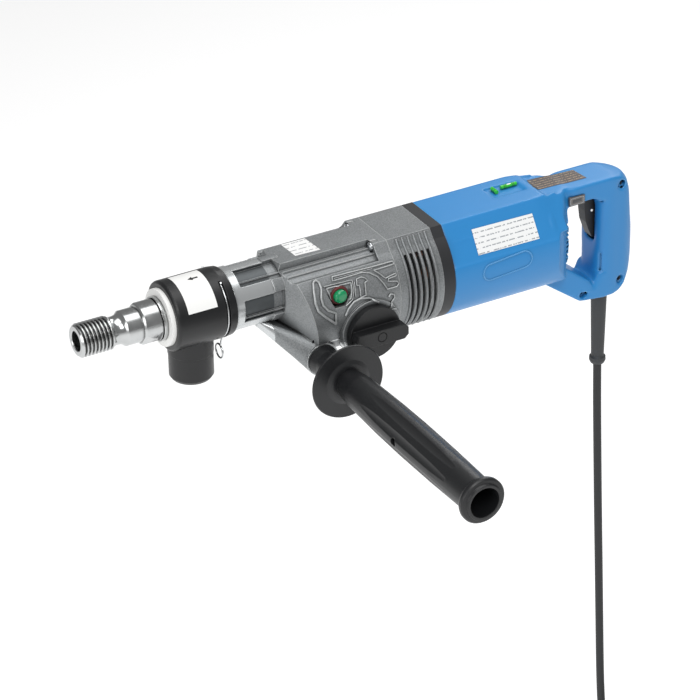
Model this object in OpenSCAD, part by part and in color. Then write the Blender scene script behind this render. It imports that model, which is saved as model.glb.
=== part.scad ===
// Hand-held dry core drilling machine: suction head, clamp neck, two-speed gearbox, vented motor, D-handle.
// X is the drilling direction, Y the operator's left, Z up. The origin is on the spindle axis at the neck.
// All lengths are millimetres.

/* [Spindle] */
// Outside diameter of the front thread
thread_d = 31.75; // [27:0.05:36]
// Length of the front thread
thread_len = 31; // [22:1:45]
// Length of the waist behind the thread
waist_len = 11; // [6:1:16]
// Diameter of the waist
waist_d = 26.4; // [24:0.1:28.5]
// Diameter of the plain seat
seat_d = 33; // [31:0.5:36]
// Length of the plain seat
seat_len = 22; // [14:1:30]
// Diameter of the wrench collar
collar_d = 39; // [37:0.5:44]
// Length of the wrench collar
collar_len = 14; // [10:1:20]
// Distance across the wrench flats
flats_w = 34.4; // [32:0.2:36]
// Diameter of the inner front socket
socket_d = 18.6; // [14:0.1:20]
// Depth of the inner front socket
socket_depth = 32; // [20:1:40]
// Diameter of the dust bore behind the socket
dust_bore_d = 13; // [8:0.5:15]

/* [Suction head] */
// Outside diameter of the head
head_d = 66; // [64:1:74]
// Length of the head in front of the clip groove
head_len = 47; // [45:1:56]
// Outside diameter of the dust port
port_d = 41.4; // [36:0.2:42]
// Inside diameter of the dust port
port_bore = 35.4; // [30:0.2:36]
// Depth of the port mouth below the spindle axis
port_drop = 68; // [60:1:90]
// Diameter of the clip wire
clip_d = 1.8; // [1.2:0.1:2.2]

/* [Clamp neck] */
// Diameter of the clamp neck
neck_d = 60; // [58:0.5:66]
// Width of the full ring at the front of the neck
neck_ring_w = 8; // [6:1:12]
// Length of the machined lands
land_len = 31; // [24:1:45]
// Diameter between the lands
pocket_d = 53; // [51:0.5:55]
// Diameter of the stub that carries the head
stub_d = 54; // [52:0.5:56]

/* [Gear case] */
// Diameter of the round part of the case and the motor housing
body_d = 106; // [104:1:128]
// Drop of the motor axis below the spindle axis
motor_drop = 20; // [19:0.5:22]
// Height of the flat top above the spindle axis
top_h = 30; // [29.5:0.5:34]
// Width of the flat top
top_w = 52; // [48:1:60]
// Length of the gear case behind the nose
case_len = 93; // [93:1:115]
// Wall of the castings
case_wall = 4; // [3:0.5:6]
// Length of the vented intermediate case
mid_len = 46; // [44:1:60]
// Number of vent slots on each side
vent_n = 5; // [3:1:6]
// Pitch of the vent slots
vent_pitch = 6; // [5:0.5:7]
// Width of a vent slot
vent_w = 3; // [2:0.25:3.5]
// Length of the dark air ring
ring_len = 12; // [8:1:16]

/* [Gears] */
// Module of the motor stage
m_fast = 0.8667; // [0.85:0.0001:0.88]
// Module of the spindle stage
m_slow = 1.1; // [1.08:0.01:1.12]
// Teeth of the armature pinion
pinion_n = 12; // [11:1:13]
// Teeth of the main gear
main_n = 48; // [45:1:49]
// Width of the gears
gear_w = 9; // [7:0.5:9]
// Diameter of the dog sleeve
sleeve_d = 34; // [32:0.5:34.5]
// Play at the flank of every gear tooth
backlash = 0.16; // [0.1:0.02:0.3]

/* [Motor] */
// Diameter of the armature core
armature_d = 48; // [40:1:56]
// Length of the armature core
core_len = 60; // [40:1:66]
// Diameter of the commutator
commutator_d = 34; // [28:1:38]
// Length of the motor housing
housing_len = 131; // [131:1:160]
// Wall of the plastic housings
shell = 3; // [2.5:0.25:4]

/* [Handle] */
// Width of the D-handle
handle_w = 40; // [36:1:48]
// Depth of the grip bar from front to back
grip_depth = 38; // [34:1:44]
// Height of the trigger
trigger_h = 44; // [36:1:50]
// Angle the trigger swings through, in degrees
trigger_swing = 7; // [4:0.5:8]

/* [Side handle] */
// Length of the grip from the guard face to its end
grip_len = 238; // [120:1:260]
// Largest diameter of the grip
grip_d = 36.6; // [30:0.2:40]
// Diameter of the guard
guard_d = 72.8; // [60:0.2:84]
// Diameter of the end flange
flange_d = 43.6; // [38:0.2:50]
// Length of the spacer
spacer_len = 40; // [30:1:50]

/* [Controls] */
// Diameter of the selector knob
knob_d = 52; // [40:1:54]
// Height of the knob with its grip bar
knob_h = 17; // [12:1:22]
// Travel of the mode bar
mode_travel = 6; // [4:0.5:6]
// Diameter of the push caps
cap_d = 13; // [10:0.5:14]

/* [Cord] */
// Diameter of the cord
cord_d = 8.2; // [6:0.2:10]
// Length of the strain relief below the handle
relief_len = 74; // [50:1:80]
// Diameter of the round coil
coil_d = 138; // [120:1:170]

/* [Fits] */
// Radial clearance of a running fit
run_fit = 0.06; // [0.03:0.01:0.09]
// Clearance beside a moving part
move_gap = 0.5; // [0.35:0.05:0.6]
// Clearance between two pieces that are fitted together
seam_gap = 0.05; // [0:0.01:0.1]

/* [Hidden] */

$fn = 48;

// stations along the drilling axis
neck_x = 25;
land_x = neck_x - neck_ring_w;
land_end_x = land_x - land_len;
nose_x = land_end_x - 13;
case_x = nose_x - 11;
seam_x = case_x - case_len;
ring_x = seam_x - mid_len;
motor_x = ring_x - ring_len;
back_x = motor_x - housing_len;
vent_x = seam_x - 12.5;
stub_x = neck_x + 17;
clip_x = neck_x + 10;
head_x = clip_x + 3;
nose_face_x = head_x + head_len;
recess_depth = 4;
slide_r = 27;
slide_t = 8.6;
washer_t = 4;
washer_x = nose_face_x + slide_t - recess_depth;
collar_x = washer_x + washer_t;
seat_x = collar_x + collar_len;
waist_x = seat_x + seat_len;
thread_x = waist_x + waist_len;
face_x = thread_x + thread_len;
port_x = head_x + 0.447 * head_len;

// section of the body
body_r = body_d / 2;
shoulder_y = body_r - 8;
shoulder_z = 7;
crease_y = body_r - 3;
crease_z = -5;
cavity_drop = 8;

// spindle
shaft_r = 14;
journal_r = 12.5;
rear_r = 7.5;
neck_bore_r = 20;
spindle_bearing_x = neck_x + 2;
spindle_bearing_w = 12;
spindle_bearing_r = 23.5;

// gear train: the countershaft sits beside the spindle at the height of the motor axis
low_pinion_n = 15;
low_gear_n = 45;
high_pinion_n = 20;
high_gear_n = 40;
slow_centre = m_slow * (low_pinion_n + low_gear_n) / 2;
fast_centre = m_fast * (pinion_n + main_n) / 2;
counter_z = -(slow_centre * slow_centre - fast_centre * fast_centre + motor_drop * motor_drop)
  / (2 * motor_drop);
counter_y = -sqrt(slow_centre * slow_centre - counter_z * counter_z);
pressure = 25;
tooth_top = 0.8;
tooth_root = 1.08;
front_wall_x = case_x - 6;
low_x = front_wall_x - 19;
lug_len = 4.5;
lug_gap = 1;
sleeve_body = 14;
rack_r = 6;
selector_swing = 90;
shift = rack_r * selector_swing * PI / 180;
sleeve_x = low_x - lug_gap;
sleeve_body_x = sleeve_x - lug_len;
sleeve_end_x = sleeve_body_x - sleeve_body - lug_len;
high_front_x = sleeve_end_x - shift - lug_gap;
bridge_x = high_front_x - gear_w - 1.6;
bridge_w = 9;
main_x = bridge_x - bridge_w - 1.5 - gear_w;
groove_w = 4;
groove_x = sleeve_body_x - 9.5;
mid_wall = 9;
low_journal_r = 13.5;
spline_r = 13;
spline_root_r = 11;
high_journal_r = 10.5;
lug_in_r = 14;
lug_out_r = 17;
groove_r = 14.8;

// countershaft
counter_r = 7;
counter_front_x = front_wall_x + 1;
counter_bearing_r = 13;
counter_bearing_w = 8;
counter_rear_r = 9.5;
counter_rear_w = 6;

// armature
arm_r = 6;
arm_bearing_r = 14;
arm_bearing_w = 8;
arm_rear_r = 4;
arm_rear_bearing_r = 11;
arm_rear_bearing_w = 7;
fan_x = seam_x - mid_wall - 20;
fan_w = 13;
core_x = motor_x - 8;
core_end_x = core_x - core_len;
comm_x = core_end_x - 18;
comm_len = 20;
rear_wall_x = back_x + 20;
air_gap = 0.6;
stator_r = body_r - shell - 5;

// controls
knob_x = -98.5;
knob_z = -40.5;
knob_y = body_r + 2;
boss_r = knob_d / 2 + 4;
selector_r = 5;
rack_y = 29;
rack_w = 6;
fork_y = 32;
fork_z = -24;
fork_rod_r = 4;
mode_x = sleeve_body_x - 1;
mode_w = 6;
mode_ring_in = 20.6;
mode_ring_out = 23.2;

// dust port and clip
head_wall_r = head_d / 2 - 5;
spigot_r = port_bore / 2 + 1.6;
port_join_z = -42;
boss_step = 0.5;
clip_r = head_d / 2 - 1.5;
clip_from = 32;
clip_end = 148;
loop_r = 6.8;
loop_y = 10;
loop_z = -head_d / 2 - 12;
link_rise = clip_r * cos(clip_end) - loop_z;
link_side = clip_r * sin(clip_end) - loop_y;
link_len = sqrt(link_rise * link_rise + link_side * link_side);
link_tilt = atan2(link_side, link_rise);

// handle
grip_back_x = back_x - 86;
grip_front_x = grip_back_x + grip_depth;
grip_edge = 9;
handle_top = 24.5;
handle_low = -103;
relief_x = grip_back_x + 24;
relief_z = -112;
relief_top_r = 7.8;
relief_end_r = 6.3;
relief_flange_z = handle_low + shell + 0.8;
collar_h = 8;
trigger_pin_x = grip_front_x - 5;
trigger_pin_z = 2;
trigger_w = 12;
stud_x = case_x - 14;
stud_z = -62.4;
boss_y = body_r - 7;
hole_y = boss_y + 158;
boss_out_r = 16.3;
stud_r = 5.9;
stud_depth = 18;
guard_y = boss_y + spacer_len + 5;
grip_end_y = guard_y + grip_len;
flute_n = 8;
flute_r = 13;
flute_depth = 1.3;

// level vials in the housing top
vial_x = back_x + 44;
vial_r = 1.9;
vial_len = 17;
vial_depth = 2.2;

// cord: route points of the free length, then the round coil on the floor
cord_exit_z = relief_z - relief_len;
coil_r = coil_d / 2;
coil_tube = 15;
coil_x = relief_x - 14 - (coil_r - coil_tube);
coil_y = 22;
coil_z = -665;
cord_route = [[relief_x, 0, cord_exit_z + 10], [relief_x - 0.4, 0, -215], [relief_x - 1.8, 0, -260],
  [relief_x - 3.4, 0, -310], [relief_x - 5.1, 0, -360], [relief_x - 7, 0, -410], [relief_x - 8.8, 0, -460],
  [relief_x - 10.6, 0, -510], [relief_x - 12.2, 0, -555], [relief_x - 13.4, 1, -590],
  [relief_x - 14, 4, -617], [relief_x - 14, 12, -634], [relief_x - 14.4, 24, -643],
  [relief_x - 16.6, 38, -645.6]];

// placement helpers
module yz(x0, len) translate([x0, 0, 0]) rotate([90, 0, 90]) linear_extrude(len) children();
module rev() rotate([90, 0, 90]) rotate_extrude() children();
module rev_part(from, sweep) rotate([90, 0, 90]) rotate([0, 0, 90 - from - sweep])
  rotate_extrude(angle = sweep) children();
module xz(y0, len) translate([0, y0 + len, 0]) rotate([90, 0, 0]) linear_extrude(len) children();
module rod_x(x0, x1, r) translate([min(x0, x1), 0, 0]) rotate([0, 90, 0]) cylinder(h = abs(x1 - x0), r = r);
module rod_y(y0, y1, r) translate([0, min(y0, y1), 0]) rotate([-90, 0, 0])
  cylinder(h = abs(y1 - y0), r = r);
module rod_z(z0, z1, r) translate([0, 0, min(z0, z1)]) cylinder(h = abs(z1 - z0), r = r);
module tube_x(x0, x1, r_out, r_in) difference() {
  rod_x(x0, x1, r_out);
  rod_x(min(x0, x1) - 1, max(x0, x1) + 1, r_in);
}
module both_sides() {
  children();
  mirror([0, 1, 0]) children();
}
module at_motor() translate([0, 0, -motor_drop]) children();
module at_counter() translate([0, counter_y, counter_z]) children();

// length of the case and motor housing section: a round barrel with a flat top, moved in by g
module body(x0, len, g = 0) intersection() {
  union() {
    at_motor() rod_x(x0, x0 + len, body_r - g);
    yz(x0, len) polygon([[-top_w / 2 + g / 2, top_h - g], [top_w / 2 - g / 2, top_h - g],
      [shoulder_y - g, shoulder_z], [0, -motor_drop], [-shoulder_y + g, shoulder_z]]);
  }
  translate([x0 - 1, -body_d, -2 * body_d]) cube([len + 2, 2 * body_d, 2 * body_d + top_h - g]);
}

// half angle of an involute tooth at radius r
function inv_at(rb, r) = let (a = acos(min(1, rb / r))) tan(a) - a * PI / 180;
function tooth_half(n, m, r) = let (rp = n * m / 2, rb = rp * cos(pressure))
  ((PI * m / 4 - backlash / 2) / rp + inv_at(rb, rp) - inv_at(rb, max(rb, r))) * 180 / PI;
module gear2d(n, m, phase = 0) {
  rp = n * m / 2;
  tip = rp + tooth_top * m;
  root = rp - tooth_root * m;
  foot = tooth_half(n, m, root);
  tooth = [[root, -foot], [rp, -tooth_half(n, m, rp)], [tip, -tooth_half(n, m, tip)],
    [tip, tooth_half(n, m, tip)], [rp, tooth_half(n, m, rp)], [root, foot]];
  polygon([for (i = [0:n - 1], p = tooth) let (a = phase + i * 360 / n + p[1]) p[0] * [cos(a), sin(a)]]);
}
// direction in the YZ plane from the countershaft to the spindle, and from the motor to the countershaft
slow_dir = atan2(-counter_z, -counter_y);
fast_dir = atan2(counter_z + motor_drop, counter_y);

// wedge between two angles counted from the top towards +Y
module wedge2d(from, to, r) polygon([[0, 0], for (i = [0:6])
  let (a = from + (to - from) * i / 6) r * [sin(a), cos(a)]]);
module lands2d(r, spots, half) intersection() {
  circle(r);
  union() for (a = spots) wedge2d(a - half, a + half, 2 * r);
}
module cavity2d() {
  circle(m_slow * (low_gear_n / 2 + tooth_top) + move_gap);
  intersection() {
    translate([0, -motor_drop]) circle(body_r - case_wall);
    translate([-body_d, -2 * body_d]) square([2 * body_d, 2 * body_d + cavity_drop]);
  }
}
module motor_cavity2d(g) intersection() {
  translate([0, -motor_drop]) circle(body_r - g);
  translate([-body_d, -2 * body_d]) square([2 * body_d, 2 * body_d + top_h - g]);
}

// long scoop beside the top strip that gives access to a case screw
module channel() yz(screw_head_x, case_x - screw_head_x + 20)
  polygon([[top_w * 0.305, top_h + 9], [top_w * 0.305, top_h + 0.5], [top_w * 0.33, 23.2], [20.4, 22.6],
    [21, 24.4], [22.2, 24.4], [22.8, 22], [26.5, 20.2], [27.2, 21.4], [28.4, 20.8], [28.6, 19], [33, 16.6],
    [37.5, 17.6], [42, 34]]);
screw_y = 21;
screw_z = 24.6;
screw_head_x = seam_x + 14;
lower_screw_y = 31;
lower_screw_z = -51;

module chin() hull() {
  both_sides() translate([stud_x, 0, stud_z]) rod_y(boss_y - 1.4, boss_y - 1.2, boss_out_r - 0.8, $fn = 28);
  translate([land_end_x + 10, -neck_d / 4, -neck_d / 2 + 2]) cube([3, neck_d / 2, 6]);
}

module gear_case() color("#a9adad") {
  difference() {
    union() {
      rod_x(neck_x - 1, stub_x, stub_d / 2);
      rod_x(land_x, neck_x, neck_d / 2);
      rod_x(case_x - 5, land_x + 1, pocket_d / 2);
      yz(land_end_x, land_len + 1) {
        lands2d(neck_d / 2, [0, 180], 9);
        lands2d(neck_d / 2, [-128, -59, 59, 128], 12.5);
      }
      yz(nose_x - 4, land_end_x - nose_x + 4) {
        lands2d(neck_d / 2 + 0.8, [0, 180], 7.5);
        lands2d(neck_d / 2 + 0.8, [-128, -59, 59, 128], 11);
      }
      yz(nose_x - 4, land_x - nose_x + 4) lands2d(neck_d / 2 - 1.6, [-109, -37, 37, 109], 1.6);
      intersection() {
        body(seam_x, case_x - seam_x + 15);
        rev() polygon([[0, seam_x - 1], [90, seam_x - 1], [90, nose_x - 37], [neck_d / 2, nose_x + 3],
          [0, nose_x + 3]]);
      }
      // chin under the nose with the side-handle bosses
      chin();
      translate([stud_x, 0, stud_z]) rod_y(-boss_y, boss_y, boss_out_r);
      translate([knob_x, 0, knob_z]) rod_y(body_r * 0.6, knob_y, boss_r);
    }
    rod_x(spindle_bearing_x, stub_x + 1, spindle_bearing_r);
    rod_x(front_wall_x - 1, spindle_bearing_x + 1, neck_bore_r);
    tube_x(clip_x - 1.5, clip_x + 1.5, stub_d / 2 + 1, stub_d / 2 - 1.8);
    yz(seam_x - 1, front_wall_x - seam_x + 1) cavity2d();
    at_counter() rod_x(counter_front_x - counter_bearing_w, counter_front_x, counter_bearing_r);
    translate([0, fork_y, fork_z]) rod_x(front_wall_x - 1, front_wall_x + 5, fork_rod_r);
    both_sides() channel();
    both_sides() translate([0, screw_y, screw_z]) {
      rod_x(seam_x - 1, seam_x + 13, 3.1);
      rod_x(seam_x + 8, screw_head_x + 2, 5.4);
    }
    both_sides() translate([stud_x, 0, stud_z]) rod_y(boss_y - stud_depth, boss_y + 2, stud_r + 0.1);
    translate([knob_x, 0, knob_z]) rod_y(0, knob_y + 1, selector_r + run_fit);
    // recess round the push cap
    both_sides() translate([mode_x, 0, 0]) {
      xz(body_r - 6.5, 12) polygon([[14, 7], [-12, 10], [-11, 0], [-4, -9.5], [7, -9.5]]);
      rod_y(body_r * 0.4, body_r + 5, cap_d / 2 + run_fit);
    }
  }
  difference() {
    at_counter() rod_x(counter_front_x - counter_bearing_w, front_wall_x + 0.5, counter_bearing_r + 2.6);
    at_counter() rod_x(counter_front_x - counter_bearing_w - 1, front_wall_x + 1, counter_bearing_r);
    rod_x(counter_front_x - counter_bearing_w - 1, front_wall_x + 1, neck_bore_r);
    yz(counter_front_x - counter_bearing_w - 1, counter_bearing_w + 3) difference() {
      circle(body_d);
      translate([0, -motor_drop]) circle(body_r - case_wall + 0.5);
    }
  }
  // guide of the selector shaft and of the push caps
  difference() {
    union() {
      translate([knob_x, 0, knob_z]) rod_y(rack_y + rack_w + 1, body_r - 9, selector_r + 4);
      both_sides() translate([mode_x, 0, 0]) rod_y(body_r - 15, body_r - 7.5, cap_d / 2 + 2.5);
      both_sides() translate([stud_x, 0, stud_z]) rod_y(boss_y - stud_depth - 3, boss_y - 1.5, stud_r + 4);
      for (s = [-1, 1]) translate([0, s * lower_screw_y, lower_screw_z])
        rod_x(seam_x, seam_x + 11, 6.5);
    }
    translate([knob_x, 0, knob_z]) rod_y(0, body_r, selector_r + run_fit);
    both_sides() translate([mode_x, 0, 0]) rod_y(body_r * 0.4, body_r, cap_d / 2 + run_fit);
    both_sides() translate([stud_x, 0, stud_z]) rod_y(boss_y - stud_depth, boss_y + 2, stud_r + 0.1);
    for (s = [-1, 1]) translate([0, s * lower_screw_y, lower_screw_z])
      rod_x(seam_x - 1, seam_x + 9, 2.6);
    at_counter() rod_x(main_x - 1, seam_x + 20, m_fast * (main_n / 2 + tooth_top) + move_gap);
  }
}

module vents2d() intersection() {
  difference() {
    circle(body_d);
    circle(body_r - case_wall - 1.5);
  }
  union() {
    wedge2d(46, 166, 2 * body_d);
    wedge2d(-46, -166, 2 * body_d);
  }
}
module mid_case() color("#a4a8a8") difference() {
  body(ring_x, mid_len);
  yz(ring_x - 1, mid_len - mid_wall + 1) motor_cavity2d(case_wall);
  at_motor() rod_x(seam_x - arm_bearing_w - 0.2, seam_x + 1, arm_bearing_r);
  at_motor() rod_x(ring_x, seam_x, arm_bearing_r - 4);
  at_counter() rod_x(seam_x - counter_rear_w - 0.2, seam_x + 1, counter_rear_r);
  for (i = [0:vent_n - 1]) yz(vent_x - i * vent_pitch - vent_w / 2, vent_w)
    translate([0, -motor_drop]) vents2d();
  both_sides() translate([0, screw_y, screw_z]) rod_x(seam_x - mid_wall + 1, seam_x + 1, 2.6);
  for (s = [-1, 1]) translate([0, s * lower_screw_y, lower_screw_z])
    rod_x(seam_x - mid_wall - 1, seam_x + 1, 3.1);
}

module air_ring() color("#3b3d3f") difference() {
  body(motor_x, ring_len);
  yz(motor_x - 1, ring_len - 3) motor_cavity2d(case_wall + 1);
  at_motor() rod_x(motor_x, ring_x + 1, armature_d / 2 + 6);
}

// plan of the motor housing rear, seen from above, moved in by g
module plan2d(g) polygon([[motor_x + 1, body_r + 5 - g], [back_x + 20, body_r + 5 - g],
  [back_x + 15, body_r - 4 - g], [back_x + 6, body_r - 11 - g], [back_x - 3, body_r - 21 - g],
  [back_x - 9 + g * 0.5, body_r - 31 - g], [back_x - 12 + g, body_r - 40], [back_x - 14 + g, 0],
  [back_x - 12 + g, -body_r + 40], [back_x - 9 + g * 0.5, -body_r + 31 + g], [back_x - 3, -body_r + 21 + g],
  [back_x + 6, -body_r + 11 + g], [back_x + 15, -body_r + 4 + g], [back_x + 20, -body_r - 5 + g],
  [motor_x + 1, -body_r - 5 + g]]);
module housing_outer(g = 0) intersection() {
  body(back_x - 15, housing_len + 15, g);
  // flat side planes down to the crease, round below it
  yz(back_x - 16, housing_len + 17) polygon([[-top_w / 2 + g / 2, top_h - g + 0.01],
    [top_w / 2 - g / 2, top_h - g + 0.01], [crease_y - g, crease_z], [body_r + 5, crease_z],
    [body_r + 5, -2 * body_r], [-body_r - 5, -2 * body_r], [-body_r - 5, crease_z],
    [-crease_y + g, crease_z]]);
  translate([0, 0, -body_d]) linear_extrude(2 * body_d) plan2d(g);
}
module motor_housing() color("#3f95d2") {
  difference() {
    housing_outer();
    intersection() {
      yz(back_x - 15, housing_len + 16) intersection() {
        motor_cavity2d(shell);
        polygon([[-top_w / 2 - 2, top_h], [top_w / 2 + 2, top_h], [crease_y - shell - 1, crease_z],
          [crease_y, crease_z - 4], [crease_y, -2 * body_r], [-crease_y, -2 * body_r],
          [-crease_y, crease_z - 4], [-crease_y + shell + 1, crease_z]]);
      }
      translate([0, 0, -body_d]) linear_extrude(2 * body_d) plan2d(shell);
    }
    // pocket of the level vials
    translate([vial_x, -4, top_h - vial_depth]) linear_extrude(4) square([36, 20], center = true);
    // wire passages into the handle
    translate([back_x - 20, -6, top_h - 18]) cube([16, 12, 9]);
  }
  // rear bulkhead with the bearing cup
  difference() {
    union() {
      yz(rear_wall_x - 4, 4) motor_cavity2d(shell - 0.5);
      at_motor() rod_x(rear_wall_x - 10, rear_wall_x, arm_rear_bearing_r + 3);
    }
    at_motor() rod_x(rear_wall_x - 10.5, rear_wall_x - 2.5, arm_rear_bearing_r);
    at_motor() rod_x(rear_wall_x - 12, rear_wall_x + 1, arm_rear_bearing_r - 4);
    for (a = [45:90:315]) at_motor() rotate([a, 0, 0]) translate([0, 0, 30])
      rod_x(rear_wall_x - 5, rear_wall_x + 1, 8);
  }
  // ribs that carry the stator
  for (a = [45:90:315]) at_motor() rotate([a, 0, 0]) translate([core_end_x, -3, stator_r + seam_gap])
    cube([core_len, 6, body_r - shell - stator_r + 0.4]);
}

// side profile of the D-handle
module handle2d() polygon([[back_x + 8, handle_top], [grip_back_x + 24, handle_top],
  [grip_back_x + 14, handle_top - 3.2], [grip_back_x + 7.5, handle_top - 10],
  [grip_back_x + 3.5, handle_top - 20], [grip_back_x + 1.6, -20], [grip_back_x - 1, -42],
  [grip_back_x - 0.5, -66], [grip_back_x + 2, -86],
  [grip_back_x + 6, -96], [grip_back_x + 12, -101.5], [grip_back_x + 19, handle_low],
  [relief_x + 12, handle_low],  [back_x - 28, handle_low + 2.5], [back_x + 14, -69],
  [back_x + 30, -50], [back_x + 30, 0]]);
module opening2d() polygon([[back_x - 12, 4.5], [back_x - 14, -15], [back_x - 15, -35], [back_x - 14, -50],
  [back_x - 11, -59], [grip_front_x + 6, -83], [grip_front_x + 2, -82], [grip_front_x, -75],
  [grip_front_x - 1.5, -45], [grip_front_x - 1.5, -5], [grip_front_x + 1.5, 4], [grip_front_x + 8, 7]]);
module ring2d() difference() {
  handle2d();
  opening2d();
}
module grip_plan2d(g) hull() {
  translate([back_x + 40, -handle_w / 2 + g]) square([1, handle_w - 2 * g]);
  for (s = [-1, 1]) translate([grip_back_x + 12.5, s * (handle_w / 2 - 14)]) circle(14 - g);
}
module handle_solid(g) intersection() {
  xz(-handle_w / 2, handle_w) children();
  translate([0, 0, -2 * body_d]) linear_extrude(3 * body_d) grip_plan2d(g);
}
// rounds the front edges of the grip bar where the fingers go
module grip_round() translate([grip_front_x - 1.5, handle_w / 2, 0]) {
  translate([0, 0, -75]) linear_extrude(77) difference() {
    translate([-grip_edge, -grip_edge]) square(grip_edge + 2);
    translate([-grip_edge, -grip_edge]) circle(grip_edge);
  }
}
screw_spots = [[back_x - 32, -94], [grip_back_x + 13, 13], [grip_back_x + 12, -90]];
module handle_half() {
  difference() {
    union() {
      difference() {
        handle_solid(0) ring2d();
        both_sides() grip_round();
      }
      translate([relief_x, 0, 0]) rod_z(relief_z + 2, handle_low + 2, relief_top_r + 2.8);
    }
    translate([-1000, -500, -500]) cube([2000, 500 + seam_gap / 2, 1000]);
    difference() {
      handle_solid(shell) offset(delta = -shell) ring2d();
      for (p = screw_spots) translate([p[0], 0, p[1]]) rod_y(-1, handle_w, 5);
      translate([trigger_pin_x, 0, trigger_pin_z]) rod_y(trigger_w / 2 + 0.7, handle_w, 5);
    }
    intersection() {
      body(back_x - 16, housing_len, -seam_gap);
      translate([0, 0, -body_d]) linear_extrude(2 * body_d) plan2d(-seam_gap);
    }
    // trigger slot, relief hole and air inlets
    translate([grip_front_x - 9, -trigger_w / 2 - 0.7, -trigger_h - 1.5])
      cube([16, trigger_w + 1.4, trigger_h + 6.5]);
    translate([trigger_pin_x, 0, trigger_pin_z]) rod_y(-1, handle_w / 2 - 2, 2 + run_fit);
    translate([relief_x, 0, 0]) rod_z(relief_z - 1, handle_low + shell + 1, relief_top_r + seam_gap);
    for (p = screw_spots) translate([p[0], 0, p[1]]) rod_y(-1, handle_w / 2 - 4, 2);
    // row of air notches along the front edge of the hand opening
    for (i = [0:9]) let (z = -13 - i * 4.6) translate([back_x - 13.6 + abs(z + 34) * 0.06, 0, z])
      rod_y(handle_w / 2 - 4, handle_w / 2 + 1, 1.3);
  }
}
module handle_left() color("#3f95d2") difference() {
  handle_half();
  for (p = screw_spots) translate([p[0], 0, p[1]]) {
    rod_y(handle_w / 2 - 5, handle_w, 4.2);
    rod_y(-1, handle_w, 2.2);
  }
  translate([back_x - 30, handle_w / 2 - 2, 6.5]) cube([17, 3, 9]);
}
module handle_right() color("#3f95d2") mirror([0, 1, 0]) handle_half();

module bearing_bridge() color("#b9bcbe") difference() {
  yz(bridge_x - bridge_w, bridge_w) difference() {
    intersection() {
      cavity2d();
      translate([0, -motor_drop]) circle(body_r - case_wall - seam_gap);
    }
    polygon([[24, -27], [80, -27], [80, -80], [24, -52]]);
  }
  rod_x(bridge_x - bridge_w - 1, bridge_x + 1, 16);
  at_counter() rod_x(bridge_x - bridge_w - 1, bridge_x + 1, 12);
  translate([0, fork_y, fork_z]) rod_x(bridge_x - 6, bridge_x + 1, fork_rod_r);
}

module bearing_ring(x0, w, r_out, r_in) difference() {
  rod_x(x0, x0 + w, r_out);
  rod_x(x0 - 1, x0 + w + 1, r_in + run_fit);
  tube_x(x0 + w - 0.8, x0 + w + 1, r_out - (r_out - r_in) * 0.3, r_in + (r_out - r_in) * 0.3);
}
module spindle_bearings() color("#c9cccf") {
  bearing_ring(spindle_bearing_x, spindle_bearing_w, spindle_bearing_r, journal_r);
  bearing_ring(bridge_x - bridge_w, bridge_w, 16, rear_r);
}
module countershaft_bearings() color("#c9cccf") at_counter() {
  bearing_ring(counter_front_x - counter_bearing_w, counter_bearing_w, counter_bearing_r, 5);
  bearing_ring(seam_x - counter_rear_w, counter_rear_w, counter_rear_r, 4);
}
module armature_bearings() color("#c9cccf") at_motor() {
  bearing_ring(seam_x - arm_bearing_w, arm_bearing_w, arm_bearing_r, arm_r);
  bearing_ring(rear_wall_x - 2.5 - arm_rear_bearing_w - 0.5, arm_rear_bearing_w + 0.5, arm_rear_bearing_r,
    arm_rear_r);
}
module shaft_seal() color("#2c2c2e") difference() {
  rod_x(spindle_bearing_x + spindle_bearing_w, stub_x, spindle_bearing_r);
  rod_x(0, stub_x + 1, shaft_r + move_gap);
}

module field_stator() color("#6f7377") at_motor() tube_x(core_end_x, core_x, stator_r,
  armature_d / 2 + air_gap);
module field_coils() color("#b5713a") at_motor() for (x = [core_x, core_end_x - 9])
  yz(x, 9) intersection() {
    difference() {
      circle(stator_r - 3);
      circle(armature_d / 2 + 3);
    }
    union() for (a = [0, 180]) wedge2d(a - 58, a + 58, 2 * body_r);
  }
module brush_holders() color("#b89a52") both_sides() at_motor() difference() {
  translate([comm_x - comm_len / 2 - 6, commutator_d / 2 + 2, -5.5])
    cube([12, body_r - shell - commutator_d / 2 - 5, 11]);
  translate([comm_x - comm_len / 2 - 4.5, 0, -4]) cube([9, body_r - shell - 6, 8]);
}
module carbon_brushes() color("#35363a") both_sides() at_motor()
  translate([comm_x - comm_len / 2 - 4.4, commutator_d / 2 + 0.3, -3.9]) cube([8.8, 16, 7.8]);

module trigger_switch() color("#2b2b2d") union() {
  translate([grip_back_x + 7, -11, -46]) cube([grip_depth - 23, 22, 46]);
  translate([grip_back_x + grip_depth - 16.5, -4, -30]) cube([3.5, 8, 8]);
  translate([grip_back_x + 13, -handle_w / 2 + shell + 0.05, -34])
    cube([7, handle_w - 2 * shell - 0.1, 14]);
}
module control_module() color("#31534a") translate([back_x - 50, -14, handle_top - 13])
  cube([34, 28, 13 - shell - 0.05]);
module strain_relief() color("#2e3032") translate([relief_x, 0, 0]) difference() {
  rotate_extrude() polygon([[0, relief_flange_z + 3], [relief_top_r + 1.6, relief_flange_z + 3],
    [relief_top_r + 1.6, relief_flange_z], [relief_top_r, relief_flange_z],
    [relief_top_r, relief_z - 2], [relief_end_r, cord_exit_z + collar_h],
    [relief_end_r + 1.7, cord_exit_z + collar_h - 1.5], [relief_end_r + 1.9, cord_exit_z + 3],
    [relief_end_r + 0.6, cord_exit_z], [0, cord_exit_z]]);
  rod_z(cord_exit_z - 1, relief_flange_z + 4, cord_d / 2 + 0.1);
}
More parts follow.
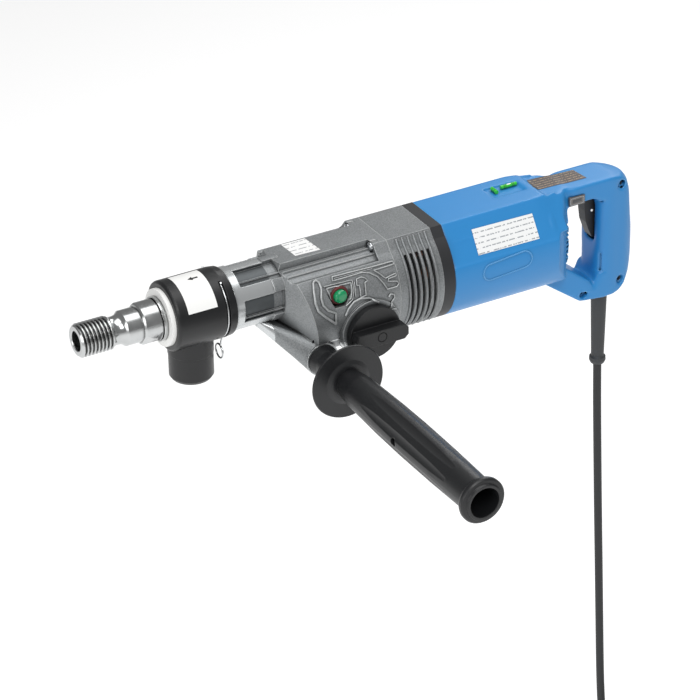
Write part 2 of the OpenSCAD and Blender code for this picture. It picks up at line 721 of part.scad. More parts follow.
module cable_clamp() color("#2e3032") translate([relief_x, 0, 0]) difference() {
  translate([-5.5, -9, relief_flange_z + 3.1]) cube([18, 18, 7]);
  rod_z(relief_flange_z + 2, relief_flange_z + 20, cord_d / 2 + 0.1);
}

// tube along a list of points; each ring stands square to the way ahead
function unit(v) = v / norm(v);
module tube_along(pts, r, sides = 10) {
  n = len(pts);
  rings = [for (i = [0:n - 1]) let (
    t = unit(pts[min(n - 1, i + 1)] - pts[max(0, i - 1)]),
    u = unit(cross([0, 1, 0.2], t)), w = cross(t, u))
    for (k = [0:sides - 1]) pts[i] + r * (cos(k * 360 / sides) * u + sin(k * 360 / sides) * w)];
  polyhedron(points = rings, faces = concat([[for (k = [0:sides - 1]) k]],
    [for (i = [0:n - 2], k = [0:sides - 1]) [i * sides + k, (i + 1) * sides + k,
      (i + 1) * sides + (k + 1) % sides, i * sides + (k + 1) % sides]],
    [[for (k = [sides - 1:-1:0]) (n - 1) * sides + k]]), convexity = 4);
}
module power_cord() color("#232425") tube_along(concat([[relief_x, 0, relief_z + 34],
  [relief_x, 0, relief_z]], cord_route), cord_d / 2);
module at_coil() translate([coil_x, coil_y, coil_z]) children();
module cord_coil() color("#232425") at_coil() rotate_extrude() translate([coil_r - coil_tube, 0])
  circle(coil_tube);
module coil_tie() color("#17181a") at_coil() translate([-(coil_r - coil_tube), 0, 0]) rotate([90, 0, 0])
  difference() {
    cylinder(h = 12, r = coil_tube + 2, center = true);
    cylinder(h = 14, r = coil_tube + 0.6, center = true);
  }
module at_plug() translate([coil_x, coil_y + coil_r + 0.4, coil_z - coil_tube + 18.5]) children();
module plug_body() color("#232425") at_plug() union() {
    rod_y(0, 15, cord_d / 2);
    rod_y(14, 28, 7);
    rod_y(28, 66, 18.5);
  }
module plug_pins() color("#c8c9c6") at_plug() for (s = [-1, 1]) translate([s * 9.5, 0, 0])
  rod_y(66, 85, 2.4);

module level_vials() color("#59c93f") translate([vial_x, 0, top_h - vial_depth + vial_r]) {
  translate([-7.5, -9, 0]) rod_x(-vial_len / 2, vial_len / 2, vial_r);
  translate([9, -7, 0]) rod_y(-4.5, 4.5, vial_r);
}
module load_indicator() color("#8f8278") translate([back_x - 29.9, handle_w / 2 - 1.9, 6.6])
  cube([16.8, 2.7, 8.8]);
module case_screws() color("#c4c8cc") {
  both_sides() translate([0, screw_y, screw_z]) {
    rod_x(seam_x - mid_wall + 1.5, seam_x + 9, 2.5);
    difference() {
      rod_x(seam_x + 8, screw_head_x, 4.6);
      rod_x(screw_head_x - 3, screw_head_x + 1, 2.5);
    }
  }
  for (s = [-1, 1]) translate([0, s * lower_screw_y, lower_screw_z]) {
    rod_x(seam_x - mid_wall - 1, seam_x + 8.5, 2.5);
    rod_x(seam_x - mid_wall - 4.5, seam_x - mid_wall - 0.1, 4.4);
  }
}
module handle_screws() color("#9a9ea3") for (p = screw_spots) translate([p[0], 0, p[1]]) {
  rod_y(-handle_w / 2 + 6, handle_w / 2 - 5, 1.9);
  rod_y(handle_w / 2 - 4.9, handle_w / 2 - 1.5, 3.9);
}

// side handle
module at_stud() translate([stud_x, 0, stud_z]) children();
module handle_stud() color("#aeb2b6") at_stud() rod_y(boss_y - stud_depth + 1, guard_y + 20, stud_r);
module handle_spacer() color("#28292b") at_stud() difference() {
  rotate([-90, 0, 0]) rotate_extrude() polygon([[0, boss_y + 0.1], [14.6, boss_y + 0.1], [14.6, boss_y + 2],
    [12.4, boss_y + 9], [12, boss_y + 24], [12.6, boss_y + spacer_len], [0, boss_y + spacer_len]]);
  rod_y(boss_y - 1, boss_y + spacer_len + 1, stud_r + 0.1);
}
module handle_guard() color("#28292b") at_stud() difference() {
  rotate([-90, 0, 0]) rotate_extrude() polygon([[0, boss_y + spacer_len + 0.1],
    [14, boss_y + spacer_len + 0.1], [24, guard_y - 2.5], [guard_d / 2 - 1.6, guard_y - 1.2],
    [guard_d / 2, guard_y + 0.4], [guard_d / 2 - 0.6, guard_y + 2], [22, guard_y + 2],
    [18.5, guard_y + 3.6], [16.5, guard_y + 4], [0, guard_y + 4]]);
  rod_y(boss_y, guard_y + 5, stud_r + 0.1);
}
module side_grip() color("#242527") at_stud() difference() {
  rotate([-90, 0, 0]) rotate_extrude() polygon([[0, guard_y + 4.1], [13.8, guard_y + 4.1],
    [14.6, guard_y + 11], [16.2, guard_y + 24], [grip_d / 2 - 0.5, guard_y + grip_len * 0.32],
    [grip_d / 2, guard_y + grip_len * 0.5], [grip_d / 2 - 0.4, guard_y + grip_len * 0.72],
    [grip_d / 2 - 1.6, grip_end_y - 15], [grip_d / 2 - 1.4, grip_end_y - 11],
    [flange_d / 2 - 0.8, grip_end_y - 9], [flange_d / 2, grip_end_y - 7],
    [flange_d / 2, grip_end_y - 4], [flange_d / 2 - 1.2, grip_end_y - 2.4],
    [17.6, grip_end_y - 2], [16.8, grip_end_y], [15, grip_end_y], [0, grip_end_y]]);
  rod_y(grip_end_y - 70, grip_end_y + 1, 14.3);
  rod_y(guard_y, guard_y + 21, stud_r + 0.1);
  translate([0, hole_y, 0]) rod_x(-flange_d, flange_d, 4);
  for (i = [0:flute_n - 1]) rotate([0, (i + 0.5) * 360 / flute_n, 0])
    translate([0, 0, grip_d / 2 + flute_r - flute_depth]) {
      rod_y(guard_y + 20, grip_end_y - 42, flute_r);
      translate([0, grip_end_y - 42, 0]) sphere(flute_r);
      translate([0, guard_y + 20, 0]) sphere(flute_r);
    }
}

module fork_rod() color("#c4c8cc") translate([0, fork_y, fork_z])
  rod_x(bridge_x - 5.5, front_wall_x + 4.5, fork_rod_r - 0.02);
module impact_ring() color("#8c9094") rev() polygon([[shaft_r + 2, front_wall_x + 4],
  [neck_bore_r - 0.05, front_wall_x + 4], [neck_bore_r - 0.05, front_wall_x - 3],
  [shaft_r + 2, front_wall_x - 3]]);

// suction head
module head_body() color("#26272a") difference() {
  union() {
    rev() polygon([[0, neck_x + 0.4], [head_d / 2 - 1.4, neck_x + 0.4], [head_d / 2 - 0.8, neck_x + 1.4],
      [head_d / 2, clip_x - 2], [head_d / 2, nose_face_x - 2.5], [head_d / 2 - 0.7, nose_face_x - 0.9],
      [head_d / 2 - 2.2, nose_face_x], [0, nose_face_x]]);
    translate([port_x, 0, 0]) rod_z(port_join_z, 0, port_d / 2 + boss_step);
  }
  rod_x(neck_x, stub_x + 0.5, stub_d / 2 + run_fit);
  rod_x(stub_x, stub_x + 7, 20);
  rod_x(stub_x + 6.5, nose_face_x - 10, head_wall_r);
  rod_x(nose_face_x - 11, nose_face_x - 3, 20);
  rod_x(nose_face_x - recess_depth, nose_face_x + 1, slide_r + 0.02);
  translate([port_x, 0, 0]) rod_z(port_join_z - 1, -head_wall_r + 4, spigot_r);
  translate([port_x, 0, 0]) rod_z(-head_wall_r - 1, -shaft_r - 8, port_bore / 2);
  // slots of the clip
  both_sides() yz(clip_x - 1.8, 3.6) difference() {
    wedge2d(clip_from - 4, 168, head_d);
    circle(clip_r - clip_d / 2 - 0.3);
  }
  both_sides() rotate([90 - clip_from, 0, 0]) translate([clip_x, 0, 0]) rod_y(stub_d / 2 - 3, head_d, 1.3);
}
module dust_port() color("#1f2022") translate([port_x, 0, 0]) difference() {
  rotate_extrude() polygon([[0, port_join_z + 6], [spigot_r - 0.02, port_join_z + 6],
    [spigot_r - 0.02, port_join_z - 0.05], [port_d / 2, port_join_z - 0.05], [port_d / 2, -port_drop + 3],
    [port_d / 2 - 2, -port_drop], [0, -port_drop]]);
  rod_z(-port_drop - 1, 0, port_bore / 2);
}
module slide_ring() color("#f2f2ef") tube_x(nose_face_x - recess_depth + 0.02, washer_x - 0.3, slide_r,
  shaft_r + 0.4);
module lip_seals() color("#3a2622") for (x = [stub_x + 0.9, nose_face_x - 10])
  tube_x(x, x + 5.6, 19.98, shaft_r + 0.4);
module wire_clip() color("#c4c8cc") {
  both_sides() {
    rev_part(clip_from, clip_end - clip_from) translate([clip_r, clip_x]) circle(clip_d / 2, $fn = 16);
    rotate([90 - clip_from, 0, 0]) translate([clip_x, 0, 0])
      rod_y(stub_d / 2 - 1.4, clip_r + 2.6, clip_d / 2 + 0.05);
  }
  // finger loop at the lower end
  translate([0, loop_y, loop_z]) rev() translate([loop_r, clip_x]) circle(clip_d / 2, $fn = 16);
  translate([clip_x, loop_y, loop_z]) rotate([-link_tilt, 0, 0])
    rod_z(loop_r - 0.4, link_len, clip_d / 2 - 0.02);
}

// spindle
module drill_spindle() color("#c3c6c8") difference() {
  union() {
    rev() polygon([[0, bridge_x - bridge_w - 0.3], [rear_r - 0.6, bridge_x - bridge_w - 0.3],
      [rear_r, bridge_x - bridge_w + 0.3], [rear_r, bridge_x + 0.3], [high_journal_r, bridge_x + 0.3],
      [high_journal_r, high_front_x + lug_len + 0.2], [spline_root_r, high_front_x + lug_len + 0.2],
      [spline_root_r, sleeve_body_x + 1.2], [low_journal_r, sleeve_body_x + 1.2],
      [low_journal_r, low_x + gear_w + 0.8], [shaft_r, low_x + gear_w + 0.8],
      [shaft_r, low_x + gear_w + 5.4], [journal_r - 0.2, low_x + gear_w + 5.4],
      [journal_r - 0.2, spindle_bearing_x - 0.6], [journal_r, spindle_bearing_x - 0.6],
      [journal_r, spindle_bearing_x + spindle_bearing_w + 0.4],
      [shaft_r, spindle_bearing_x + spindle_bearing_w + 0.4], [shaft_r, collar_x], [collar_d / 2, collar_x],
      [collar_d / 2, seat_x - 2], [collar_d / 2 - 2.6, seat_x], [seat_d / 2, seat_x + 0.2],
      [seat_d / 2, waist_x - 0.8], [seat_d / 2 - 0.8, waist_x], [waist_d / 2 + 0.6, waist_x + 2],
      [waist_d / 2, waist_x + waist_len / 2], [waist_d / 2 + 0.4, thread_x - 1.5], [thread_d / 2, thread_x],
      [thread_d / 2, face_x - 2.2], [thread_d / 2 - 2.2, face_x], [0, face_x]]);
    for (a = [0:60:300]) rotate([a, 0, 0])
      translate([high_front_x + lug_len + 0.2, -2, spline_root_r - 1])
        cube([sleeve_body_x + 1.2 - high_front_x - lug_len - 0.2, 4, spline_r - spline_root_r + 1]);
  }
  rod_x(face_x - socket_depth, face_x + 1, socket_d / 2);
  rod_x(port_x - 12, face_x - socket_depth + 1, dust_bore_d / 2);
  for (a = [0:60:120]) rotate([a, 0, 0]) translate([port_x, 0, 0]) rod_z(-shaft_r - 1, shaft_r + 1, 3.6);
  // two wrench flats on the collar
  for (a = [-120, 60]) rotate([a, 0, 0]) translate([collar_x - 1, -collar_d, flats_w / 2])
    cube([collar_len + 1, 2 * collar_d, collar_d]);
}
module spindle_washer() color("#cfd2d4") tube_x(washer_x, collar_x - 0.05, 20.8, shaft_r + 0.02);
module cam_ring() color("#8c9094") tube_x(low_x + gear_w + 1, low_x + gear_w + 5, neck_bore_r - 1,
  shaft_r + 0.02);
module lugs2d(phase) intersection() {
  difference() {
    circle(lug_out_r);
    circle(lug_in_r);
  }
  union() for (i = [0:3]) wedge2d(phase + i * 90 - 20, phase + i * 90 + 20, 2 * lug_out_r);
}
module low_gear() color("#9a9ea2") {
  difference() {
    yz(low_x, gear_w) gear2d(low_gear_n, m_slow, slow_dir + 180 + 180 / low_gear_n);
    rod_x(low_x - 1, low_x + gear_w + 1, low_journal_r + run_fit);
  }
  yz(low_x - lug_len, lug_len + 0.2) lugs2d(45);
}
module high_gear() color("#9a9ea2") {
  difference() {
    yz(high_front_x - gear_w, gear_w) gear2d(high_gear_n, m_slow, slow_dir + 180 + 180 / high_gear_n);
    rod_x(high_front_x - gear_w - 1, high_front_x + 1, high_journal_r + run_fit);
  }
  yz(high_front_x - 0.2, lug_len + 0.2) lugs2d(45);
}
module dog_sleeve() color("#7f8387") {
  difference() {
    yz(sleeve_body_x - sleeve_body, sleeve_body) difference() {
      circle(sleeve_d / 2);
      circle(spline_root_r + run_fit + 0.04);
      for (a = [0:60:300]) rotate(a) translate([-2.12, 0]) square([4.24, spline_r + 0.1]);
    }
    tube_x(groove_x, groove_x + groove_w, sleeve_d, groove_r);
  }
  yz(sleeve_body_x - 0.2, lug_len + 0.2) lugs2d(0);
  yz(sleeve_body_x - sleeve_body - lug_len, lug_len + 0.2) lugs2d(0);
}

module countershaft() color("#a8acb0") at_counter() {
  rod_x(seam_x - counter_rear_w + 0.3, main_x - 0.6, 4);
  rod_x(main_x - 0.6, counter_front_x - counter_bearing_w - 0.5, counter_r);
  rod_x(counter_front_x - counter_bearing_w - 1, counter_front_x - 0.5, 5);
  yz(low_x - 0.5, gear_w + 1) gear2d(low_pinion_n, m_slow, slow_dir);
  yz(high_front_x - gear_w - 0.5, gear_w + 1) gear2d(high_pinion_n, m_slow, slow_dir);
}
module main_gear() color("#8a8e92") at_counter() difference() {
  yz(main_x, gear_w) gear2d(main_n, m_fast, fast_dir + 180 + 180 / main_n);
  rod_x(main_x - 1, main_x + gear_w + 1, counter_r + 0.02);
  tube_x(main_x + gear_w - 2, main_x + gear_w + 1, 16, counter_r + 4);
}
module clutch_springs() color("#6d7175") at_counter() for (i = [0:2])
  rev() polygon([[counter_r + 0.02, main_x + gear_w + 0.1 + i * 2.2],
    [10.4, main_x + gear_w + 0.6 + i * 2.2], [10.4, main_x + gear_w + 2.1 + i * 2.2],
    [counter_r + 0.02, main_x + gear_w + 1.6 + i * 2.2]]);

// armature
module armature_shaft() color("#a8acb0") at_motor() {
  rod_x(rear_wall_x - 2.8 - arm_rear_bearing_w, comm_x - comm_len, arm_rear_r);
  rod_x(comm_x - comm_len - 0.5, seam_x + 1.5, arm_r);
  rod_x(seam_x + 1, main_x + gear_w + 0.8, m_fast * (pinion_n / 2 - tooth_root) - 0.05);
  yz(main_x - 0.8, gear_w + 1.6) gear2d(pinion_n, m_fast, fast_dir);
}
module armature_core() color("#7d8186") at_motor() difference() {
  yz(core_end_x, core_len) difference() {
    circle(armature_d / 2);
    for (i = [0:15]) rotate(i * 22.5) translate([armature_d / 2 - 5, -0.9]) square([6, 1.8]);
  }
  rod_x(core_end_x - 1, core_x + 1, arm_r + 0.02);
}
module armature_windings() color("#a5622c") at_motor() for (x = [core_x, core_end_x - 12])
  rev() polygon([[arm_r + 0.02, x + 0.02], [armature_d / 2 - 3, x + 0.02], [armature_d / 2 - 2, x + 3],
    [armature_d / 2 - 4, x + 9], [armature_d / 2 - 9, x + 11.9], [arm_r + 0.02, x + 11.9]]);
module commutator() color("#b0763f") at_motor() tube_x(comm_x - comm_len, comm_x, commutator_d / 2,
  arm_r + 0.02);
module cooling_fan() color("#3a3c3e") at_motor() difference() {
  union() {
    rod_x(fan_x, fan_x + fan_w, 11);
    rod_x(fan_x, fan_x + 2, body_r - case_wall - 7);
    for (i = [0:10]) rotate([i * 360 / 11, 0, 0]) translate([fan_x, -1, 9])
      cube([fan_w, 2, body_r - case_wall - 17]);
  }
  rod_x(fan_x - 1, fan_x + fan_w + 1, arm_r + 0.02);
}

// selector
module at_knob() translate([knob_x, 0, knob_z]) children();
module selector_knob() color("#232426") at_knob() difference() {
  union() {
    rod_y(knob_y + 0.4, knob_y + 7, knob_d / 2);
    xz(knob_y + 6, knob_h - 6) polygon([[knob_d / 2 - 3, -8], [knob_d / 2 - 1, 0], [knob_d / 2 - 3, 7],
      [-knob_d / 2 + 1, 7], [-knob_d / 2 - 3, 3], [-knob_d / 2 - 3, -4], [-knob_d / 2 + 1, -8]]);
  }
  rod_y(knob_y - 1, knob_y + 5, selector_r + 0.01);
  translate([-8, knob_y + 12, 0]) rod_z(-12, -3, 3.6);
  translate([9, knob_y + 11.5, 0]) rod_z(-12, -3, 2.6);
}
module selector_shaft() color("#b4b8bb") at_knob() {
  rod_y(rack_y - 1, knob_y + 4.9, selector_r);
  xz(rack_y + 0.1, rack_w - 0.2) gear2d(2 * rack_r, 1, 90);
}
rack_pitch_z = knob_z + rack_r;
module rack2d() {
  half = PI / 4 - backlash / 2;
  top = half + tooth_root * tan(pressure);
  tip = half - tooth_top * tan(pressure);
  for (i = [-2:4]) translate([knob_x + (i + 0.5) * PI, rack_pitch_z]) polygon([[-top, tooth_root],
    [-tip, -tooth_top], [tip, -tooth_top], [top, tooth_root]]);
  translate([knob_x - 6.5, rack_pitch_z + tooth_root - 0.02]) square([groove_x + 8 - knob_x + 6.5, 4]);
}
module shift_fork() color("#93979a") difference() {
  union() {
    xz(rack_y, rack_w) rack2d();
    translate([0, fork_y, fork_z]) rod_x(groove_x - 4, groove_x + 8, 7);
    translate([groove_x - 4, rack_y, fork_z - 12]) cube([12, rack_w, 10]);
    yz(groove_x + 0.2, groove_w - 0.4) {
      intersection() {
        difference() {
          circle(21);
          circle(groove_r + 0.25);
        }
        wedge2d(30, 216, 60);
      }
      difference() {
        polygon([[12, -16], [fork_y - 1, fork_z - 7], [fork_y + 5, fork_z + 4], [19, 4]]);
        circle(groove_r + 0.25);
      }
    }
  }
  translate([0, fork_y, fork_z]) rod_x(groove_x - 5, groove_x + 9, fork_rod_r + run_fit);
}

// trigger and mode bar
module trigger() color("#1f2022") union() {
  xz(-trigger_w / 2, trigger_w) polygon([[grip_front_x + 6.5, 1], [grip_front_x + 8.5, -2],
    [grip_front_x + 8, -12], [grip_front_x + 6.5, -24], [grip_front_x + 2.5, -35],
    [grip_front_x - 0.5, -trigger_h + 2.5], [grip_front_x - 6.5, -trigger_h + 2.5],
    [grip_front_x - 8, -28], [grip_front_x - 8, 2], [trigger_pin_x - 1, 5], [grip_front_x, 4]]);
  translate([trigger_pin_x, 0, trigger_pin_z]) rod_y(-handle_w / 2 + 4, handle_w / 2 - 4, 2);
}
module mode_bar() color("#a8acb0") {
  yz(mode_x - mode_w / 2, mode_w) translate([mode_travel / 2, 0]) difference() {
    circle(mode_ring_out);
    circle(mode_ring_in);
  }
  translate([mode_x, 0, 0]) {
    rod_y(mode_travel / 2 + mode_ring_in + 1, body_r - 16, 3);
    rod_y(mode_travel / 2 - mode_ring_in - 1, -(body_r - 16), 3);
  }
}
module green_cap() color("#19a565") translate([mode_x, 0, 0]) rotate([-90, 0, 0]) rotate_extrude()
  polygon([[0, body_r - 16], [cap_d / 2, body_r - 16], [cap_d / 2, body_r - 3],
    [cap_d / 2 - 1.4, body_r - 1.2], [cap_d / 2 - 3.4, body_r - 0.3], [0, body_r]]);
module red_cap() color("#b23430") translate([mode_x, 0, 0]) rotate([90, 0, 0]) rotate_extrude()
  polygon([[0, body_r - 16], [cap_d / 2, body_r - 16], [cap_d / 2, body_r - mode_travel - 3],
    [cap_d / 2 - 1.4, body_r - mode_travel - 1.2], [cap_d / 2 - 3.4, body_r - mode_travel - 0.3],
    [0, body_r - mode_travel]]);

gear_case();
mid_case();
air_ring();
motor_housing();
handle_left();
handle_right();
bearing_bridge();
spindle_bearings();
countershaft_bearings();
armature_bearings();
field_stator();
field_coils();
brush_holders();
carbon_brushes();
trigger_switch();
control_module();
strain_relief();
cable_clamp();
power_cord();
cord_coil();
coil_tie();
plug_body();
plug_pins();
level_vials();
load_indicator();
case_screws();
handle_screws();
handle_stud();
handle_spacer();
handle_guard();
side_grip();
shaft_seal();
fork_rod();
impact_ring();
head_body();
dust_port();
slide_ring();
lip_seals();
wire_clip();
drill_spindle();
spindle_washer();
cam_ring();
low_gear();
high_gear();
dog_sleeve();
countershaft();
main_gear();
clutch_springs();
armature_shaft();
armature_core();
armature_windings();
commutator();
cooling_fan();
selector_knob();
selector_shaft();
shift_fork();
trigger();
mode_bar();
green_cap();
red_cap();
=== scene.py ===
# Hand-held dry core drill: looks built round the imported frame.
import bpy
import math
from mathutils import Matrix, Vector


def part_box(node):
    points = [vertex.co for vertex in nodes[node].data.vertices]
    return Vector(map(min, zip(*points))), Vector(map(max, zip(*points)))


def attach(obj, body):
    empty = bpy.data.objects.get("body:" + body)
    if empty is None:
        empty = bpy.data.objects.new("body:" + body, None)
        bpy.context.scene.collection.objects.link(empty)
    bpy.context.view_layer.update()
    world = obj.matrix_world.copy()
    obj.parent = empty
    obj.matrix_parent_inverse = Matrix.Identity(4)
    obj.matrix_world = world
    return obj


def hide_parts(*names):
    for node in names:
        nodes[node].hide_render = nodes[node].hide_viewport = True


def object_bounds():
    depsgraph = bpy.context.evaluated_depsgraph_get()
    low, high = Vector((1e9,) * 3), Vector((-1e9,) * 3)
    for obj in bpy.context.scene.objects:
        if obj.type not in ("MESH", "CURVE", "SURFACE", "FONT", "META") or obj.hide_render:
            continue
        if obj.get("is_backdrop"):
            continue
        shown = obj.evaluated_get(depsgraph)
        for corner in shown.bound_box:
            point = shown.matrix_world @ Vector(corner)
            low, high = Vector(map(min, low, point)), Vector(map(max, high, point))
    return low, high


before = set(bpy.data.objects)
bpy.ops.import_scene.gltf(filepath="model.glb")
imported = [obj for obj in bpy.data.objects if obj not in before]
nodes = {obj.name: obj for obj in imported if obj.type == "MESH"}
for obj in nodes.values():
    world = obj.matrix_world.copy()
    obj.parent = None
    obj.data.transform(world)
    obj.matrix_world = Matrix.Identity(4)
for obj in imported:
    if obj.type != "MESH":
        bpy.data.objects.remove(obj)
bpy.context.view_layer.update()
mm = 0.001
clear = 90  # mm: rays start this far out, outside the whole machine


# small helpers

# an sRGB hex colour as linear red, green, blue and full alpha
def toLinear(hexColour):
    parts = [int(hexColour[i:i + 2], 16) / 255 for i in (1, 3, 5)]
    return tuple(c / 12.92 if c < 0.04045 else ((c + 0.055) / 1.055) ** 2.4 for c in parts) + (1,)


# a share kept from 0 to 1, with a soft start and end
def eased(share):
    share = max(0, min(1, share))
    return share * share * (3 - 2 * share)


# lengths in mm as metres
def atMm(place):
    return [c * mm for c in place]


def deselect():
    if bpy.context.object and bpy.context.object.mode != "OBJECT":
        bpy.ops.object.mode_set(mode="OBJECT")
    bpy.ops.object.select_all(action="DESELECT")


def activate(piece):
    deselect()
    piece.select_set(True)
    bpy.context.view_layer.objects.active = piece


def editing(piece):
    activate(piece)
    bpy.ops.object.mode_set(mode="EDIT")
    bpy.ops.mesh.select_mode(type="VERT")
    bpy.ops.mesh.select_all(action="SELECT")


# leaves the faces that pass the test selected, in edit mode
def pickFaces(piece, test):
    editing(piece)
    bpy.ops.mesh.select_mode(type="FACE")
    bpy.ops.mesh.select_all(action="DESELECT")
    bpy.ops.object.mode_set(mode="OBJECT")
    for face in piece.data.polygons:
        face.select = test(face)
    bpy.ops.object.mode_set(mode="EDIT")


def applyModifier(piece, kind, **settings):
    activate(piece)
    made = piece.modifiers.new(kind.lower(), kind)
    for key, value in settings.items():
        setattr(made, key, value)
    bpy.ops.object.modifier_apply(modifier=made.name)


def cutAway(piece, cutter):
    applyModifier(piece, "BOOLEAN", operation="DIFFERENCE", object=cutter, solver="EXACT")
    bpy.data.objects.remove(cutter)


def cleanMesh(piece):
    editing(piece)
    bpy.ops.mesh.remove_doubles(threshold=0.00001)
    bpy.ops.mesh.normals_make_consistent(inside=False)
    bpy.ops.object.mode_set(mode="OBJECT")


# applies the piece's place, gives it its material and shading, and lets it ride on its body
def keep(piece, name, material, body, smooth=35, replaced=()):
    activate(piece)
    bpy.ops.object.transform_apply(location=True, rotation=True, scale=True)
    if piece.data.has_custom_normals:  # a CAD copy brings its own
        bpy.ops.mesh.customdata_custom_splitnormals_clear()
    bpy.ops.object.shade_smooth_by_angle(angle=math.radians(smooth), keep_sharp_edges=False)
    piece.name = name
    piece.data.name = name
    piece.data.materials.clear()
    piece.data.materials.append(material)
    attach(piece, body)
    if replaced:
        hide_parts(*replaced)
    return piece


# rings at (distance, radius) in mm along an axis, drawn out one after the other as on a lathe
def turned(stations, around="X", centre=(0, 0, 0), sides=64):
    deselect()
    first = stations[0]
    bpy.ops.mesh.primitive_circle_add(vertices=sides, radius=max(first[1], 0.001) * mm,
                                      location=(0, 0, 0))
    piece = bpy.context.object
    editing(piece)
    bpy.ops.transform.translate(value=(0, 0, first[0] * mm))
    here, size = first
    for distance, radius in stations[1:]:
        bpy.ops.mesh.extrude_region_move(
            TRANSFORM_OT_translate={"value": (0, 0, (distance - here) * mm)})
        ratio = max(radius, 0.001) / max(size, 0.001)
        bpy.ops.transform.resize(value=(ratio, ratio, 1), center_override=(0, 0, distance * mm))
        here, size = distance, radius
    bpy.ops.object.mode_set(mode="OBJECT")
    if around == "X":
        piece.rotation_euler = (0, math.radians(90), 0)
    elif around == "Y":
        piece.rotation_euler = (math.radians(-90), 0, 0)
    piece.location = Vector(centre) * mm
    activate(piece)
    bpy.ops.object.transform_apply(location=True, rotation=True, scale=True)
    cleanMesh(piece)
    return piece


# a round bar along points in mm, made a mesh
def wire(points, thickness, closed=False):
    deselect()
    line = bpy.data.curves.new("wire", "CURVE")
    line.dimensions = "3D"
    line.bevel_depth = thickness / 2 * mm
    line.bevel_resolution = 3
    line.use_fill_caps = True
    spline = line.splines.new("POLY")
    spline.points.add(len(points) - 1)
    for spot, point in zip(spline.points, points):
        spot.co = atMm(point) + [1]
    spline.use_cyclic_u = closed
    piece = bpy.data.objects.new("wire", line)
    bpy.context.collection.objects.link(piece)
    activate(piece)
    bpy.ops.object.convert(target="MESH")
    return bpy.context.object


def joined(pieces):
    activate(pieces[0])
    for piece in pieces:
        piece.select_set(True)
    bpy.ops.object.join()
    return bpy.context.object


# a copy of a CAD node with its loose triangles merged
def mergedCopy(node):
    deselect()
    piece = bpy.data.objects.new(node + "Copy", nodes[node].data.copy())
    bpy.context.collection.objects.link(piece)
    editing(piece)
    bpy.ops.mesh.remove_doubles(threshold=0.00001)
    bpy.ops.object.mode_set(mode="OBJECT")
    return piece


# a block of a size in mm round a centre
def block(size, centre):
    deselect()
    bpy.ops.mesh.primitive_cube_add(size=1)
    piece = bpy.context.object
    piece.data.transform(Matrix.Diagonal(atMm(size) + [1]))
    piece.data.transform(Matrix.Translation(atMm(centre)))
    return piece


# a block whose corners, from -0.5 to 0.5, are moved to where a rule puts them, in mm
def shaped(rule):
    deselect()
    bpy.ops.mesh.primitive_cube_add(size=1)
    piece = bpy.context.object
    for vertex in piece.data.vertices:
        vertex.co = Vector(rule(*vertex.co)) * mm
    return piece


# a sheet with its corners at points in mm, laid on a surface by place, then made thick
def film(corners, thick=0.14, cuts=0, place=None):
    deselect()
    bpy.ops.mesh.primitive_plane_add(size=1)
    piece = bpy.context.object
    order = (0, 1, 3, 2)
    for index, corner in zip(order, corners):
        piece.data.vertices[index].co = Vector(corner) * mm
    if cuts:
        editing(piece)
        bpy.ops.mesh.subdivide(number_cuts=cuts)
        bpy.ops.object.mode_set(mode="OBJECT")
    if place:
        for vertex in piece.data.vertices:
            vertex.co = Vector(place(*(vertex.co / mm))) * mm
    applyModifier(piece, "SOLIDIFY", thickness=thick * mm, offset=0)
    cleanMesh(piece)
    return piece


# camera

cameraView = dict(azimuth=151, elevation=30, roll=-1, lens=180, sensor=36, farthest=60,
                  aside=-93.47, above=51.72, distance=3170)  # degrees and mm, farthest in metres
turn, lift, roll = (math.radians(cameraView[k]) for k in ("azimuth", "elevation", "roll"))
back = Vector((math.sin(turn) * math.cos(lift), -math.cos(turn) * math.cos(lift), math.sin(lift)))
right = Vector((math.cos(turn), math.sin(turn), 0))
up = back.cross(right)
right, up = (math.cos(roll) * right + math.sin(roll) * up,
             math.cos(roll) * up - math.sin(roll) * right)
deselect()
bpy.ops.object.camera_add(location=(0, 0, 0))
camera = bpy.context.object
camera.data.lens = cameraView["lens"]
camera.data.sensor_width = cameraView["sensor"]
camera.data.clip_end = cameraView["farthest"]
stand = -(right * cameraView["aside"] + up * cameraView["above"]
          - back * cameraView["distance"]) * mm
camera.matrix_world = Matrix.Translation(stand) @ Matrix((right, up, back)).transposed().to_4x4()
bpy.context.scene.camera = camera
print("camera set")


# cord

cordLook = dict(diameter=8.2, length=3.34, leaves=(-382, 0, -186), ground=-681,
                centre=(-450, 22), begins=50, ends=69.8, rise=8.5,  # the coil, with its angles
                change=150, over=60, knots=15,  # where a turn changes lane, and degrees a knot
                bend=33, plugLevel=-661.5,
                # the coil's turns, each (radius, layer)
                lanes=((54, 2), (45.5, 2), (37, 2), (37, 1), (37, 0), (45.5, 0), (54, 0),
                       (62.5, 0), (62.5, 1), (62.5, 2)))
cordRoute = [(-382, 0, -176), (-382.4, 0, -215), (-383.8, 0, -260), (-385.4, 0, -310),
             (-387.1, 0, -360), (-389, 0, -410), (-390.8, 0, -460), (-392.6, 0, -510),
             (-394.2, 0, -555), (-395.4, 1, -590), (-396, 4, -617), (-396, 12, -634),
             (-396.4, 24, -643), (-398.6, 38, -647.6), (-404.6, 51.5, -653)]


